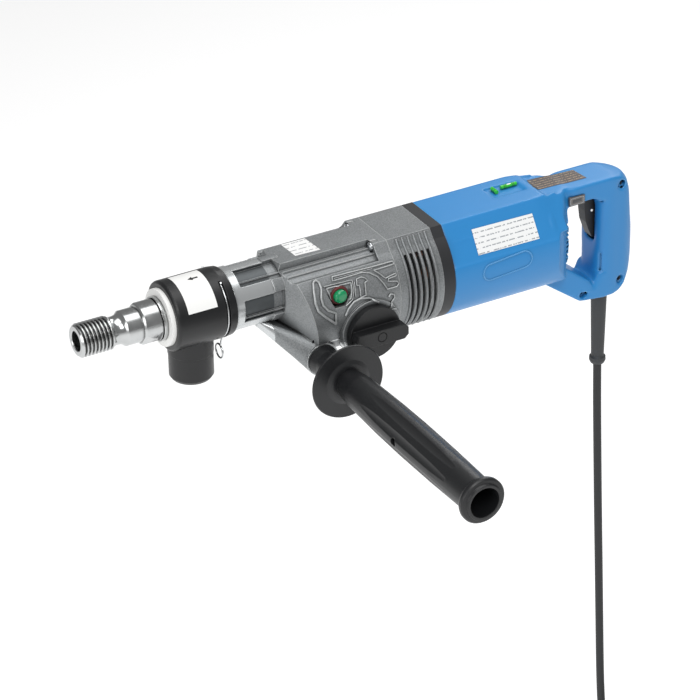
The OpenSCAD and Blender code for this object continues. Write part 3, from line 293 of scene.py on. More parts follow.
# the cord's place in its coil at an angle counted from the first turn
def laneSpot(angle):
    lanes, change = cordLook["lanes"], cordLook["change"]
    done = max(0, min(len(lanes) - 2, math.floor((angle - change) / 360)))
    part = eased((angle - change - 360 * done) / cordLook["over"])
    (wide, layer), (nextWide, nextLayer) = lanes[done], lanes[done + 1]
    radius = wide + (nextWide - wide) * part
    height = layer + (nextLayer - layer) * part
    x = cordLook["centre"][0] + radius * math.cos(math.radians(angle))
    y = cordLook["centre"][1] + radius * math.sin(math.radians(angle))
    return x, y, cordLook["ground"] + cordLook["diameter"] / 2 + cordLook["rise"] * height


sweep = (len(cordLook["lanes"]) - 1) * 360 + cordLook["ends"] - cordLook["begins"]
steps = round(sweep / cordLook["knots"])
for i in range(steps + 1):
    cordRoute.append(laneSpot(cordLook["begins"] + sweep * i / steps))
bendAt = math.radians(cordLook["ends"])  # the way out of the coil, round a hub, to the plug
lastLane = cordLook["lanes"][-1][0]
hub = (cordLook["centre"][0] + (lastLane + cordLook["bend"]) * math.cos(bendAt),
       cordLook["centre"][1] + (lastLane + cordLook["bend"]) * math.sin(bendAt))
for share in (0.25, 0.5, 0.75, 1.0):
    angle, level = bendAt * (1 - share), cordRoute[-1][2]
    cordRoute.append((hub[0] - cordLook["bend"] * math.cos(angle),
                      hub[1] - cordLook["bend"] * math.sin(angle),
                      level + (cordLook["plugLevel"] - level) * share))
cordRoute.append((cordLook["centre"][0], hub[1] + 4, cordLook["plugLevel"]))

deselect()
cordLine = bpy.data.curves.new("mainsCord", "CURVE")
cordLine.dimensions = "3D"
cordLine.bevel_depth = 1.0  # the points' own radius gives the thickness
cordLine.bevel_resolution = 4
cordLine.resolution_u = 6
cordLine.use_fill_caps = True
spline = cordLine.splines.new("NURBS")
spline.points.add(len(cordRoute) - 1)
for knot, point in zip(spline.points, cordRoute):
    knot.co = atMm(point) + [1]
    knot.radius = cordLook["diameter"] / 2 * mm
spline.order_u = 4
spline.use_endpoint_u = True
mainsCord = bpy.data.objects.new("mainsCord", cordLine)
bpy.context.collection.objects.link(mainsCord)
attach(mainsCord, "machine_body")
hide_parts("power_cord", "cord_coil")

# the plug, turned from its ribbed sleeve to its face
plugLook = dict(at=(-450, 0, cordLook["plugLevel"]), profile=(
    (105.6, 4.3), (105.6, 5.0), (106.6, 5.9), (108.6, 5.9), (109.2, 5.2), (111.2, 5.2),
    (111.8, 6.3), (113.8, 6.3), (114.4, 5.5), (116.4, 5.5), (117, 6.8), (119.4, 6.8),
    (120.6, 9.5), (123.5, 13.4), (127.5, 15.4), (134, 15.9), (141, 15.9), (146, 16.8),
    (149, 18.2), (151, 18.5), (156.6, 18.5), (157.4, 17.7), (157.4, 11), (157.0, 10.6),
    (157.0, 0)))
plug = turned(plugLook["profile"], "Y", plugLook["at"])

# the strap round the coil: an open band with a wall
tieLook = dict(at=(-499.8, 22, -668.2), across=35.6, high=27.4, wide=12, thick=1.2, edge=0.5)
deselect()
bpy.ops.mesh.primitive_cube_add(size=1, location=atMm(tieLook["at"]))
tie = bpy.context.object
tie.dimensions = (tieLook["across"] * mm, tieLook["wide"] * mm, tieLook["high"] * mm)
activate(tie)
bpy.ops.object.transform_apply(location=True, rotation=True, scale=True)
pickFaces(tie, lambda face: abs(face.normal.y) > 0.9)
bpy.ops.mesh.delete(type="FACE")
bpy.ops.object.mode_set(mode="OBJECT")
applyModifier(tie, "SOLIDIFY", thickness=tieLook["thick"] * mm, offset=-1)
applyModifier(tie, "BEVEL", width=tieLook["edge"] * mm, segments=2, limit_method="ANGLE")
print("cord laid")


# materials

# adds a node with its settings and links, by property name or by socket
def addNode(tree, kind, settings=None, links=None):
    made = tree.nodes.new(kind)
    for key, value in (settings or {}).items():
        if isinstance(key, str) and hasattr(made, key):
            setattr(made, key, value)
        else:
            made.inputs[key].default_value = value
    for key, source in (links or {}).items():
        tree.links.new(source, made.inputs[key])
    return made


# a material whose shader's own sockets hold what is the same all over
def newMaterial(name, **surface):
    material = bpy.data.materials.new(name)
    material.use_nodes = True
    tree = material.node_tree
    shader = tree.nodes["Principled BSDF"]
    for key, value in surface.items():
        shader.inputs[key.replace("_", " ")].default_value = value
    return material, tree, shader


# edges catch the light as if they had a small radius, with a fine relief on top; sizes in mm
def roundedNormal(tree, shader, edge, height, depth, strength=0.5):
    edges = addNode(tree, "ShaderNodeBevel", {"samples": 6, "Radius": edge * mm})
    bump = addNode(tree, "ShaderNodeBump", {"Strength": strength, "Distance": depth * mm},
                   {"Height": height, "Normal": edges.outputs["Normal"]})
    tree.links.new(bump.outputs["Normal"], shader.inputs["Normal"])


# painted shade darkens the colour within reach of corners, and a painted highlight lightens a line
# along edges; sizes in mm, sharp is how far the surface turns at an edge that gets the painted
# highlight and at one that doesn't, as cosines
def paintedShadeAndHighlight(tree, colour, paintedShadeColour, paintedHighlightColour, reach=2.6, edge=0.8, amount=0.85, sharp=(0.86, 0.985)):
    corner = addNode(tree, "ShaderNodeAmbientOcclusion", {"samples": 6, "Distance": reach * mm})
    shut = addNode(tree, "ShaderNodeMapRange", {1: 0.45, 2: 0.97, 3: amount, 4: 0.0},
                   {0: corner.outputs["AO"]})  # full painted shade where under half of the sky is seen
    withPaintedShade = addNode(tree, "ShaderNodeMix", {"data_type": "RGBA", 7: toLinear(paintedShadeColour)},
                    {0: shut.outputs[0], 6: colour})
    soft = addNode(tree, "ShaderNodeBevel", {"samples": 6, "Radius": edge * mm})
    hard = addNode(tree, "ShaderNodeNewGeometry")
    agree = addNode(tree, "ShaderNodeVectorMath", {"operation": "DOT_PRODUCT"},
                    {0: soft.outputs["Normal"], 1: hard.outputs["Normal"]})
    onEdge = addNode(tree, "ShaderNodeMapRange", {1: sharp[0], 2: sharp[1], 3: 0.8, 4: 0.0},
                     {0: agree.outputs["Value"]})
    outside = addNode(tree, "ShaderNodeMath", {"operation": "MULTIPLY"},
                      {0: onEdge.outputs[0], 1: corner.outputs["AO"]})
    # painted highlight along the edges, kept out of corners
    paintedShadeAndEdgeLight = addNode(tree, "ShaderNodeMix", {"data_type": "RGBA", 7: toLinear(paintedHighlightColour)},
                   {0: outside.outputs[0], 6: withPaintedShade.outputs[2]})
    return paintedShadeAndEdgeLight.outputs[2]


# injection moulded plastic: even colour with faint darker drifts and a fine spark-eroded grain
def moulded(name, colour, roughness=0.42, grain=0.9, depth=0.05, edge=0.8, shade=0.82, coat=0.0,
            paintedShadeAndEdgeLight=None):
    material, tree, shader = newMaterial(name, IOR=1.5, Coat_Weight=coat, Roughness=roughness)
    place = addNode(tree, "ShaderNodeTexCoord").outputs["Object"]
    drift = addNode(tree, "ShaderNodeTexNoise", {"Scale": 1 / (60 * mm), "Detail": 3.0},
                    {"Vector": place})  # drifts as wide as a hand
    base = toLinear(colour)
    dark = tuple(c * shade for c in base[:3]) + (1,)
    tint = addNode(tree, "ShaderNodeMix", {"data_type": "RGBA", 6: dark, 7: base},
                   {0: drift.outputs["Fac"]})
    # when asked for: painted shade in corners and a painted highlight along edges
    surface = paintedShadeAndHighlight(tree, tint.outputs[2], **paintedShadeAndEdgeLight) if paintedShadeAndEdgeLight else tint.outputs[2]
    tree.links.new(surface, shader.inputs["Base Color"])
    fine = addNode(tree, "ShaderNodeTexNoise", {"Scale": 1 / (grain * mm), "Detail": 2.0},
                   {"Vector": place})  # a mould's grain is near 0.2 mm, drawn coarser to show
    rough = addNode(tree, "ShaderNodeMapRange", {3: roughness - 0.05, 4: roughness + 0.07},
                    {0: fine.outputs["Fac"]})
    tree.links.new(rough.outputs[0], shader.inputs["Roughness"])
    roundedNormal(tree, shader, edge, fine.outputs["Fac"], depth)
    return material


# turned, ground or drawn metal: a slightly uneven sheen, with fine tool rings along an axis
def metal(name, colour, roughness=0.22, rings=None, paintedShadeAndGlint=None):
    material, tree, shader = newMaterial(name, Metallic=1.0, Roughness=roughness)
    place = addNode(tree, "ShaderNodeTexCoord").outputs["Object"]
    blotch = addNode(tree, "ShaderNodeTexNoise", {"Scale": 1 / (9 * mm), "Detail": 4.0},
                     {"Vector": place})  # finger marks and oil, near 9 mm
    base = toLinear(colour)
    low = tuple(c * 0.86 for c in base[:3]) + (1,)
    tint = addNode(tree, "ShaderNodeMix", {"data_type": "RGBA", 6: low, 7: base},
                   {0: blotch.outputs["Fac"]})
    # when asked for: painted shade in hollows such as a thread's groove, and a painted highlight
    # along edges
    surface = paintedShadeAndHighlight(tree, tint.outputs[2], **paintedShadeAndGlint) if paintedShadeAndGlint else tint.outputs[2]
    tree.links.new(surface, shader.inputs["Base Color"])
    rough = addNode(tree, "ShaderNodeMapRange", {3: roughness - 0.05, 4: roughness + 0.08},
                    {0: blotch.outputs["Fac"]})
    tree.links.new(rough.outputs[0], shader.inputs["Roughness"])
    if rings:  # feed marks near 0.1 mm, drawn 0.5 mm apart so that they show
        lines = addNode(tree, "ShaderNodeTexWave",
                        {"wave_type": "BANDS", "bands_direction": rings,
                         "Scale": 1 / (0.5 * mm) / 20, "Distortion": 0.4, "Detail": 1.0},
                        {"Vector": place})
        roundedNormal(tree, shader, 0.35, lines.outputs["Fac"], 0.02, 0.25)
    else:
        roundedNormal(tree, shader, 0.35, blotch.outputs["Fac"], 0.02, 0.15)
    return material


# where the case was turned bright after casting, in mm: the collar's lands and ring, and the boss;
# shade is the painted shade given to the pockets between the lands
machined = dict(land=29.72, pocket=28.9, ahead=-14.05, bossFace=45.7, bossTop=-45,
                shine="#C9CCCD", shade="#5C6062", roughness=0.24)


# die-cast aluminium, shot blasted: grey with small pits and sparkle, bright where it was turned,
# with painted shade in its corners and a painted highlight along its edges
def castAluminium(name, light, dark, turnedLands=True):
    material, tree, shader = newMaterial(name, Metallic=0.72, Roughness=0.42)
    place = addNode(tree, "ShaderNodeTexCoord").outputs["Object"]
    grit = addNode(tree, "ShaderNodeTexNoise",
                   {"Scale": 1 / (1.1 * mm), "Detail": 4.0, "Roughness": 0.7},
                   {"Vector": place})  # blasting grit near 0.5 mm, drawn twice as coarse
    flow = addNode(tree, "ShaderNodeTexNoise", {"Scale": 1 / (28 * mm), "Detail": 3.0},
                   {"Vector": place})  # clouds where the metal flowed into the die
    speck = addNode(tree, "ShaderNodeValToRGB", links={0: grit.outputs["Fac"]})
    for stop, (position, shade) in zip(speck.color_ramp.elements, ((0.34, dark), (0.62, light))):
        stop.position = position
        stop.color = toLinear(shade)
    cloud = addNode(tree, "ShaderNodeMapRange", {3: 0.86, 4: 1.06}, {0: flow.outputs["Fac"]})
    tint = addNode(tree, "ShaderNodeVectorMath", {"operation": "SCALE"},
                   {0: speck.outputs["Color"], "Scale": cloud.outputs[0]})
    rough = addNode(tree, "ShaderNodeMapRange", {3: 0.36, 4: 0.56}, {0: grit.outputs["Fac"]})
    colour, roughness, height = tint.outputs[0], rough.outputs[0], grit.outputs["Fac"]
    if turnedLands:
        split = addNode(tree, "ShaderNodeSeparateXYZ", links={0: place})
        flat = addNode(tree, "ShaderNodeCombineXYZ",
                       links={1: split.outputs[1], 2: split.outputs[2]})
        reach = addNode(tree, "ShaderNodeVectorMath", {"operation": "LENGTH"}, {0: flat.outputs[0]})
        outer = addNode(tree, "ShaderNodeMath",
                        {"operation": "GREATER_THAN", 1: machined["land"] * mm},
                        {0: reach.outputs["Value"]})
        ahead = addNode(tree, "ShaderNodeMath",
                        {"operation": "GREATER_THAN", 1: machined["ahead"] * mm},
                        {0: split.outputs[0]})
        lands = addNode(tree, "ShaderNodeMath", {"operation": "MULTIPLY"},
                        {0: outer.outputs[0], 1: ahead.outputs[0]})
        left = addNode(tree, "ShaderNodeMath",
                       {"operation": "GREATER_THAN", 1: machined["bossFace"] * mm},
                       {0: split.outputs[1]})
        below = addNode(tree, "ShaderNodeMath",
                        {"operation": "LESS_THAN", 1: machined["bossTop"] * mm},
                        {0: split.outputs[2]})
        boss = addNode(tree, "ShaderNodeMath", {"operation": "MULTIPLY"},
                       {0: left.outputs[0], 1: below.outputs[0]})
        bright = addNode(tree, "ShaderNodeMath", {"operation": "MAXIMUM"},
                         {0: lands.outputs[0], 1: boss.outputs[0]})
        inner = addNode(tree, "ShaderNodeMath",
                        {"operation": "LESS_THAN", 1: machined["pocket"] * mm},
                        {0: reach.outputs["Value"]})
        pocket = addNode(tree, "ShaderNodeMath", {"operation": "MULTIPLY"},
                         {0: inner.outputs[0], 1: ahead.outputs[0]})
        # painted shade: the pockets between the lands are darkened
        deep = addNode(tree, "ShaderNodeMix",
                       {"data_type": "RGBA", 7: toLinear(machined["shade"])},
                       {0: pocket.outputs[0], 6: colour})
        shine = addNode(tree, "ShaderNodeMix",
                        {"data_type": "RGBA", 7: toLinear(machined["shine"])},
                        {0: bright.outputs[0], 6: deep.outputs[2]})
        smoothed = addNode(tree, "ShaderNodeMix", {"data_type": "FLOAT", 3: machined["roughness"]},
                           {0: bright.outputs[0], 2: roughness})
        rest = addNode(tree, "ShaderNodeMath", {"operation": "SUBTRACT", 0: 1.0},
                       {1: bright.outputs[0]})
        calm = addNode(tree, "ShaderNodeMath", {"operation": "MULTIPLY"},
                       {0: height, 1: rest.outputs[0]})
        colour, roughness, height = shine.outputs[2], smoothed.outputs[0], calm.outputs[0]
    # painted shade in corners and a painted highlight along edges
    surface = paintedShadeAndHighlight(tree, colour, "#3A3C3D", "#D9DBDB", reach=2.8, edge=0.9)
    tree.links.new(surface, shader.inputs["Base Color"])
    tree.links.new(roughness, shader.inputs["Roughness"])
    roundedNormal(tree, shader, 0.9, height, 0.22, 0.55)
    return material


# moulded polyamide: an even satin blue, with a painted highlight along its edges and painted shade
# in its corners
bluePolyamide = moulded("polyamideMouldedBlue", "#2A86C8", roughness=0.38, grain=0.8,
                        depth=0.03, edge=0.8, shade=0.92,
                        paintedShadeAndEdgeLight=dict(paintedShadeColour="#164F7E", paintedHighlightColour="#7DBBE6", reach=3.0, edge=1.3,
                                  amount=0.7, sharp=(0.955, 0.996)))
# moulded polyamide ring: a flat charcoal that swallows its own highlights
blackHousing = moulded("polyamideMouldedBlack", "#222326", roughness=0.5, grain=1.0, depth=0.06,
                       edge=0.7, shade=0.8)
# glass filled nylon: near black with a soft broad shine and a faint orange peel
blackNylon = moulded("glassFilledNylonMoulded", "#121315", roughness=0.36, grain=0.9,
                     depth=0.05, edge=1.0, shade=0.8)
# moulded nylon of the side handle: the same black, a shade paler
gripNylon = moulded("nylonGripMoulded", "#1A1B1D", roughness=0.38, grain=0.9, depth=0.05,
                    edge=1.0, shade=0.82)
# moulded nylon knob: black with generous rounded edges that catch a thin light
knobNylon = moulded("nylonKnobMoulded", "#111214", roughness=0.4, grain=0.9, depth=0.05,
                    edge=1.2, shade=0.85)
# extruded chloroprene sheath: dull black, slightly dusty
cordRubber = moulded("chloropreneExtruded", "#222325", roughness=0.55, grain=0.7, depth=0.04,
                     edge=0.4, shade=0.9)
# soft moulded vinyl: a matt dark grey, paler than the housing's black
reliefRubber = moulded("softVinylMoulded", "#37393B", roughness=0.55, grain=0.9, depth=0.04,
                       edge=0.6, shade=0.9)
# moulded nitrile lip: a dull brown black edge
brownRubber = moulded("nitrileMoulded", "#3A2A24", roughness=0.5, grain=0.6, depth=0.03,
                      edge=0.3)
# turned acetal: clean, waxy white with hardly any grain
acetalWhite = moulded("acetalTurned", "#F3F3F1", roughness=0.35, grain=0.7, depth=0.01,
                      edge=0.4, shade=0.97)
# moulded switch plastic: black and semi-matt
switchBlack = moulded("thermosetMoulded", "#1D1D1E", roughness=0.45, grain=0.8, depth=0.03,
                      edge=0.5)
# poured epoxy: a dark glossy green with lazy waves
pottedGreen = moulded("epoxyPotted", "#12382B", roughness=0.3, grain=4.0, depth=0.1, edge=0.5)
# moulded fan polyamide: dark grey, semi-matt
fanPlastic = moulded("polyamideMouldedFan", "#2D2E30", roughness=0.45, grain=0.8, depth=0.04,
                     edge=0.4)
# moulded acrylic: a clear-skinned green with a sharp highlight
greenCap = moulded("acrylicMouldedGreen", "#0F8F5A", roughness=0.24, grain=0.8, depth=0.01,
                   edge=0.8, shade=0.9, coat=0.4)
# moulded acrylic: a clear-skinned red with a sharp highlight
redCap = moulded("acrylicMouldedRed", "#B32722", roughness=0.24, grain=0.8, depth=0.01,
                 edge=0.8, shade=0.9, coat=0.4)
# acrylic vial full of dyed liquid: a bright wet green
vialGreen = moulded("acrylicVialFilled", "#3FD23A", roughness=0.12, grain=1.5, depth=0.01,
                    edge=0.3, shade=0.85, coat=0.8)
# air under acrylic: a pale spot with a soft rim
bubbleWhite = moulded("airBubble", "#F4FBF2", roughness=0.15, grain=1.5, depth=0.01, edge=0.3,
                      shade=0.97)
# screen printed ink: thin, flat black
vialMark = moulded("inkScreenPrinted", "#121413", roughness=0.4, grain=0.8, depth=0.01,
                   edge=0.2)
# moulded red rubber: a dull dark red ring
sealRed = moulded("rubberMouldedRed", "#5E1F1F", roughness=0.55, grain=0.8, depth=0.03,
                  edge=0.4)
# sprayed silver lacquer on plastic: pale, satin, without metal's contrast
rimSilver = moulded("lacquerSprayedSilver", "#AEB9C4", roughness=0.3, grain=0.8, depth=0.02,
                    edge=0.3, shade=0.93)
# polished tinted polycarbonate: nearly black with mirror-like reflections
darkGlass = moulded("polycarbonatePolished", "#34373B", roughness=0.12, grain=2.0, depth=0.01,
                    edge=0.3, shade=0.8, coat=0.6)
# painted shade: a flat black disc stands for the shade down the knob's hole, with no highlight
paintedHoleShade = moulded("nylonInShade", "#0A0A0B", roughness=0.6, grain=0.8, depth=0.02, edge=0.3)
# moulded smoked polycarbonate: a warm grey behind a glossy skin
smokedCover = moulded("polycarbonateSmoked", "#6F6A66", roughness=0.25, grain=2.0, depth=0.03,
                      edge=0.8, shade=0.7, coat=0.5)
# cast and blasted aluminium: sparkling mid grey with bright turned lands
caseCast = castAluminium("aluminiumCastBlasted", "#9C9FA0", "#7A7D7F")
# the same casting round the air vents, a shade darker, with painted shade in its corners
midCast = castAluminium("aluminiumCastVented", "#979A9B", "#727577", turnedLands=False)
# raised cast marks in a paler copy of the casting's colours, a painted highlight that makes them
# stand out
markCast = castAluminium("aluminiumCastPaintedBright", "#C9CCCC", "#A6A9AA", turnedLands=False)
# turned steel: bright bands of light across the axis, painted shade black in the thread and a
# painted highlight along its edges
spindleSteel = metal("steelTurned", "#C6C8C8", roughness=0.19, rings="X",
                     paintedShadeAndGlint=dict(paintedShadeColour="#1E1D1B", paintedHighlightColour="#F2F2F2", reach=2.4, edge=0.4, amount=0.95))
# hardened steel: darker grey with a soft shine
gearSteel = metal("steelHardened", "#8E9194", roughness=0.3)
# ground bearing steel: clean and bright
bearingSteel = metal("bearingSteelGround", "#CDD0D3", roughness=0.2)
# zinc plated steel: bright, slightly blue
zincSteel = metal("steelZincPlated", "#D2D5D8", roughness=0.22)
# drawn spring wire: very bright with thin streaks of light
springSteel = metal("springSteelDrawn", "#D8DADB", roughness=0.18)
# stamped sheets in a stack: dull grey with fine lines
lamination = metal("siliconSteelStamped", "#6C6F72", roughness=0.45, rings="X")
# enamelled copper wire: warm orange brown
copperWire = metal("copperEnamelled", "#B8693A", roughness=0.35)
# drawn brass: a dull yellow
brassPart = metal("brassDrawn", "#B99A5B", roughness=0.3)
# nickel plating: bright with a warm cast
nickelPins = metal("brassNickelPlated", "#CFCDC6", roughness=0.2)
# steel screw heads painted dark blue grey as the shade deep in their recesses, with a dry shine
screwHeadInPaintedShade = metal("steelDarkenedAsShade", "#3A3F45", roughness=0.4)


# printed polyester film: smooth and slightly glossy, with rows of grey dashes where text would
# stand; rowGap and dash in mm, share is how much of a row's height is inked
def printedFilm(name, colour, ink=None, rowGap=3.3, dash=2.2, share=0.3, rows="Z", roughness=0.3):
    material, tree, shader = newMaterial(name, Roughness=roughness, IOR=1.57)
    shader.inputs["Base Color"].default_value = toLinear(colour)
    place = addNode(tree, "ShaderNodeTexCoord").outputs["Object"]
    haze = addNode(tree, "ShaderNodeTexNoise", {"Scale": 1 / (14 * mm), "Detail": 3.0},
                   {"Vector": place})  # where hands have rubbed it
    rough = addNode(tree, "ShaderNodeMapRange", {3: roughness - 0.06, 4: roughness + 0.08},
                    {0: haze.outputs["Fac"]})
    tree.links.new(rough.outputs[0], shader.inputs["Roughness"])
    if ink:
        split = addNode(tree, "ShaderNodeSeparateXYZ", links={0: place})
        row = addNode(tree, "ShaderNodeMath", {"operation": "DIVIDE", 1: rowGap * mm},
                      {0: split.outputs[rows]})
        inRow = addNode(tree, "ShaderNodeMath", {"operation": "FRACT"}, {0: row.outputs[0]})
        line = addNode(tree, "ShaderNodeMath", {"operation": "LESS_THAN", 1: share},
                       {0: inRow.outputs[0]})
        long, tall = 1 / (dash * mm), 1 / (rowGap * mm)
        stretched = addNode(tree, "ShaderNodeMapping",
                            {"Scale": (long, 1, tall) if rows == "Z" else (long, tall, 1)},
                            {"Vector": place})
        broken = addNode(tree, "ShaderNodeTexNoise", {"Scale": 1.0, "Detail": 1.0},
                         {"Vector": stretched.outputs[0]})
        dashes = addNode(tree, "ShaderNodeMath", {"operation": "GREATER_THAN", 1: 0.47},
                         {0: broken.outputs["Fac"]})  # a little over half of a row is inked
        printed = addNode(tree, "ShaderNodeMath", {"operation": "MULTIPLY"},
                          {0: line.outputs[0], 1: dashes.outputs[0]})
        tint = addNode(tree, "ShaderNodeMix",
                       {"data_type": "RGBA", 6: toLinear(colour), 7: toLinear(ink)},
                       {0: printed.outputs[0]})
        tree.links.new(tint.outputs[2], shader.inputs["Base Color"])
    return material


# printed polyester film, bare: clean white
whiteFilm = printedFilm("polyesterFilmWhite", "#F2F2F0")
# printed polyester film: white with rows of pale grey dashes
plateFilm = printedFilm("polyesterFilmRuled", "#EFF0F0", "#9EA3A7", rowGap=4.1, dash=2.6,
                        share=0.22)
# printed polyester film: white with a few long dashes
markFilm = printedFilm("polyesterFilmDashed", "#F2F2F1", "#8D9093", rowGap=6.5, dash=3.4,
                       share=0.16, rows="Y")
# printed polyester film: dark brown with rows of tan dashes
darkFilm = printedFilm("polyesterFilmDark", "#3A2E2A", "#A88E6C", rowGap=4.1, dash=1.7,
                       share=0.2, rows="Y", roughness=0.35)
# pressed carbon: dull grey black with a fine grain
carbonBlock = moulded("carbonPressed", "#26272A", roughness=0.5, grain=0.6, edge=0.3)
mainsCord.data.materials.append(cordRubber)
keep(plug, "plugBody", cordRubber, "machine_body", replaced=("plug_body",))
keep(tie, "coilStrap", reliefRubber, "machine_body", replaced=("coil_tie",))
print("materials made")

# the CAD nodes by the material that each is made of
dressed = (
    (caseCast, "gear_case"), (midCast, "mid_case bearing_bridge shift_fork"),
    (blackHousing, "air_ring"), (bluePolyamide, "motor_housing handle_left handle_right"),
    (bearingSteel, "spindle_bearings countershaft_bearings armature_bearings"),
    (lamination, "field_stator armature_core"),
    (copperWire, "field_coils armature_windings commutator"), (brassPart, "brush_holders"),
    (carbonBlock, "carbon_brushes"), (switchBlack, "trigger_switch cable_clamp trigger"),
    (pottedGreen, "control_module"), (reliefRubber, "strain_relief coil_tie"),
    (cordRubber, "plug_body"), (nickelPins, "plug_pins"), (smokedCover, "load_indicator"),
    (zincSteel, "case_screws handle_screws handle_stud"),
    (gripNylon, "handle_spacer handle_guard side_grip"), (brownRubber, "shaft_seal lip_seals"),
    (gearSteel, "fork_rod impact_ring cam_ring low_gear high_gear dog_sleeve countershaft"),
    (gearSteel, "main_gear armature_shaft selector_shaft mode_bar"),
    (blackNylon, "head_body dust_port"), (acetalWhite, "slide_ring"),
    (springSteel, "wire_clip clutch_springs"), (spindleSteel, "drill_spindle spindle_washer"),
    (fanPlastic, "cooling_fan"), (knobNylon, "selector_knob"), (greenCap, "green_cap"),
    (redCap, "red_cap"), (vialGreen, "level_vials"))
for material, names in dressed:
    for name in names.split():
        nodes[name].data.materials.clear()
        nodes[name].data.materials.append(material)
print("nodes dressed")


# spindle with its thread

spindleLook = dict(
    cut=88,  # in front of this X the spindle is drawn anew, behind it the CAD's own shape stays
    flat=(17.6, 44, 8), flatAt=(103.6, 0, 21.2), flatTurn=-53,  # one of the two spanner flats
    pitch=3.63, begins=140.3, turns=9, root=13.8, crest=16.3, rootHalf=0.25, flankTilt=30,
    profile=((88, 6.5), (88, 14), (93.6, 14), (93.6, 18.7), (94.4, 19.5), (110.0, 19.5),
             (111.6, 18.2), (112.0, 16.5), (126.4, 16.5), (127.2, 15.8), (128.8, 14.3), (131, 13.5),
             (134, 13.2), (137.0, 13.4), (139.1, 14.2), (140.6, 15.875), (169.4, 15.875),
             (171.6, 13.7), (171.6, 9.9), (171.0, 9.3), (139.6, 9.3), (139.6, 6.5), (88, 6.5)))
rear = mergedCopy("drill_spindle")
editing(rear)
bpy.ops.mesh.bisect(plane_co=(spindleLook["cut"] * mm, 0, 0), plane_no=(1, 0, 0), use_fill=True,
                    clear_outer=True)
bpy.ops.object.mode_set(mode="OBJECT")
spindle = turned(spindleLook["profile"], sides=112)
flats = block(spindleLook["flat"], spindleLook["flatAt"])
activate(flats)
bpy.ops.object.duplicate()
other = bpy.context.object
other.rotation_euler.x = math.radians(180)
flats = joined([flats, other])
editing(flats)
bpy.ops.transform.rotate(value=math.radians(spindleLook["flatTurn"]), orient_axis="X",
                         center_override=(0, 0, 0))
bpy.ops.object.mode_set(mode="OBJECT")
cutAway(spindle, flats)

# the thread's groove, one section wound round the axis
deselect()
bpy.ops.mesh.primitive_plane_add(size=1)
groove = bpy.context.object
root, crest, rootHalf = (spindleLook[k] for k in ("root", "crest", "rootHalf"))
flank = rootHalf + (crest - root) * math.tan(math.radians(spindleLook["flankTilt"]))
section = ((-rootHalf, root), (rootHalf, root), (-flank, crest), (flank, crest))
for vertex, (along, radius) in zip(groove.data.vertices, section):
    vertex.co = Vector((spindleLook["begins"] + along, 0, radius)) * mm
editing(groove)
bpy.ops.mesh.delete(type="ONLY_FACE")
bpy.ops.object.mode_set(mode="OBJECT")
applyModifier(groove, "SCREW", axis="X", angle=math.radians(360),
              screw_offset=spindleLook["pitch"] * mm, iterations=spindleLook["turns"], steps=56,
              render_steps=56, use_merge_vertices=False)
editing(groove)
bpy.ops.mesh.fill_holes(sides=0)
bpy.ops.mesh.normals_make_consistent(inside=False)
bpy.ops.object.mode_set(mode="OBJECT")
cutAway(spindle, groove)
spindle = joined([spindle, rear])
cleanMesh(spindle)
keep(spindle, "threadedSpindle", spindleSteel, "spindle", smooth=32,
     replaced=("drill_spindle",))
print("spindle threaded")


# blue housing and handle

housingLook = dict(  # in mm; a pair is for the lower and upper, or inner and outer, corners
    voxel=1.0, most=95000,  # the remesh's grid, and about how many triangles are kept
    softBody=10, softGrip=30, gripFrom=-318, gripTo=-342,  # smoothing, and where the grip begins
    saddle=dict(front=-296, lean=10, rear=-336, top=25.2, roof=40, wide=70),
    backing=dict(front=(-292, -296), rear=-332, half=(28.5, 26.5), rearShare=0.72, thick=3),
    skin=dict(front=-189.6, rear=-316, edge=(26, 30), run=(24, 35), inward=(0.825, 0.566),
              down=(0.9, 0.04), deep=(2.4, 0.02)),
    core=dict(size=(27.4, 36, 38), at=(-385.1, 0, -67.5), edge=8.5),
    vialFloor=dict(size=(39, 23, 2.6), at=(-276, -4, 26.5)),
    taper=dict(front=-290, rear=-331, past=4, above=-8, beside=12, wide=26, level=30, slope=0.686,
               less=2.14, lessRise=0.264),
    corner=dict(front=-369, sill=-83, radius=9, beside=11, outer=20.4, x=(-385, -350),
                z=(-96, -60), clearX=-368.3, clearZ=-82.3),
    heel=dict(front=-371, deep=24, bulge=5.5, foot=-105, footRise=25, crown=4.5, crownFrom=5,
              crownRise=19, half=20, pinch=0.1),
    softened=((-304, 16, 17, -1), (-330, 15, 4, 12)),  # X, reach along X, above Z, beyond |Y|
    softenedBy=1.6, softenedTimes=45,
    holes=((-352, -94), (-393, 13), (-394, -90)), holeRadius=3.7, holeDeep=9,  # (X, Z)
    notches=10, notchTop=-13, notchStep=4.6, notchRadius=2.0, notchDeep=8, notchX=-332.2,
    notchMiddle=-34, notchBow=0.06, drillY=18.5)
shells = [mergedCopy(name) for name in ("motor_housing", "handle_left", "handle_right")]

# the saddle: the top steps down to the handle behind the vials, onto a plate of its own
saddle, plateShape = housingLook["saddle"], housingLook["backing"]
cutAway(shells[0], shaped(lambda x, y, z: (
    (saddle["front"] - (0 if z > 0 else saddle["lean"])) if x > 0 else saddle["rear"],
    saddle["wide"] * y, saddle["roof"] if z > 0 else saddle["top"])))
backing = shaped(lambda x, y, z: (
    plateShape["front"][z > 0] if x > 0 else plateShape["rear"],
    2 * plateShape["half"][z > 0] * y * (1 if x > 0 else plateShape["rearShare"]),
    saddle["top"] if z > 0 else saddle["top"] - plateShape["thick"]))


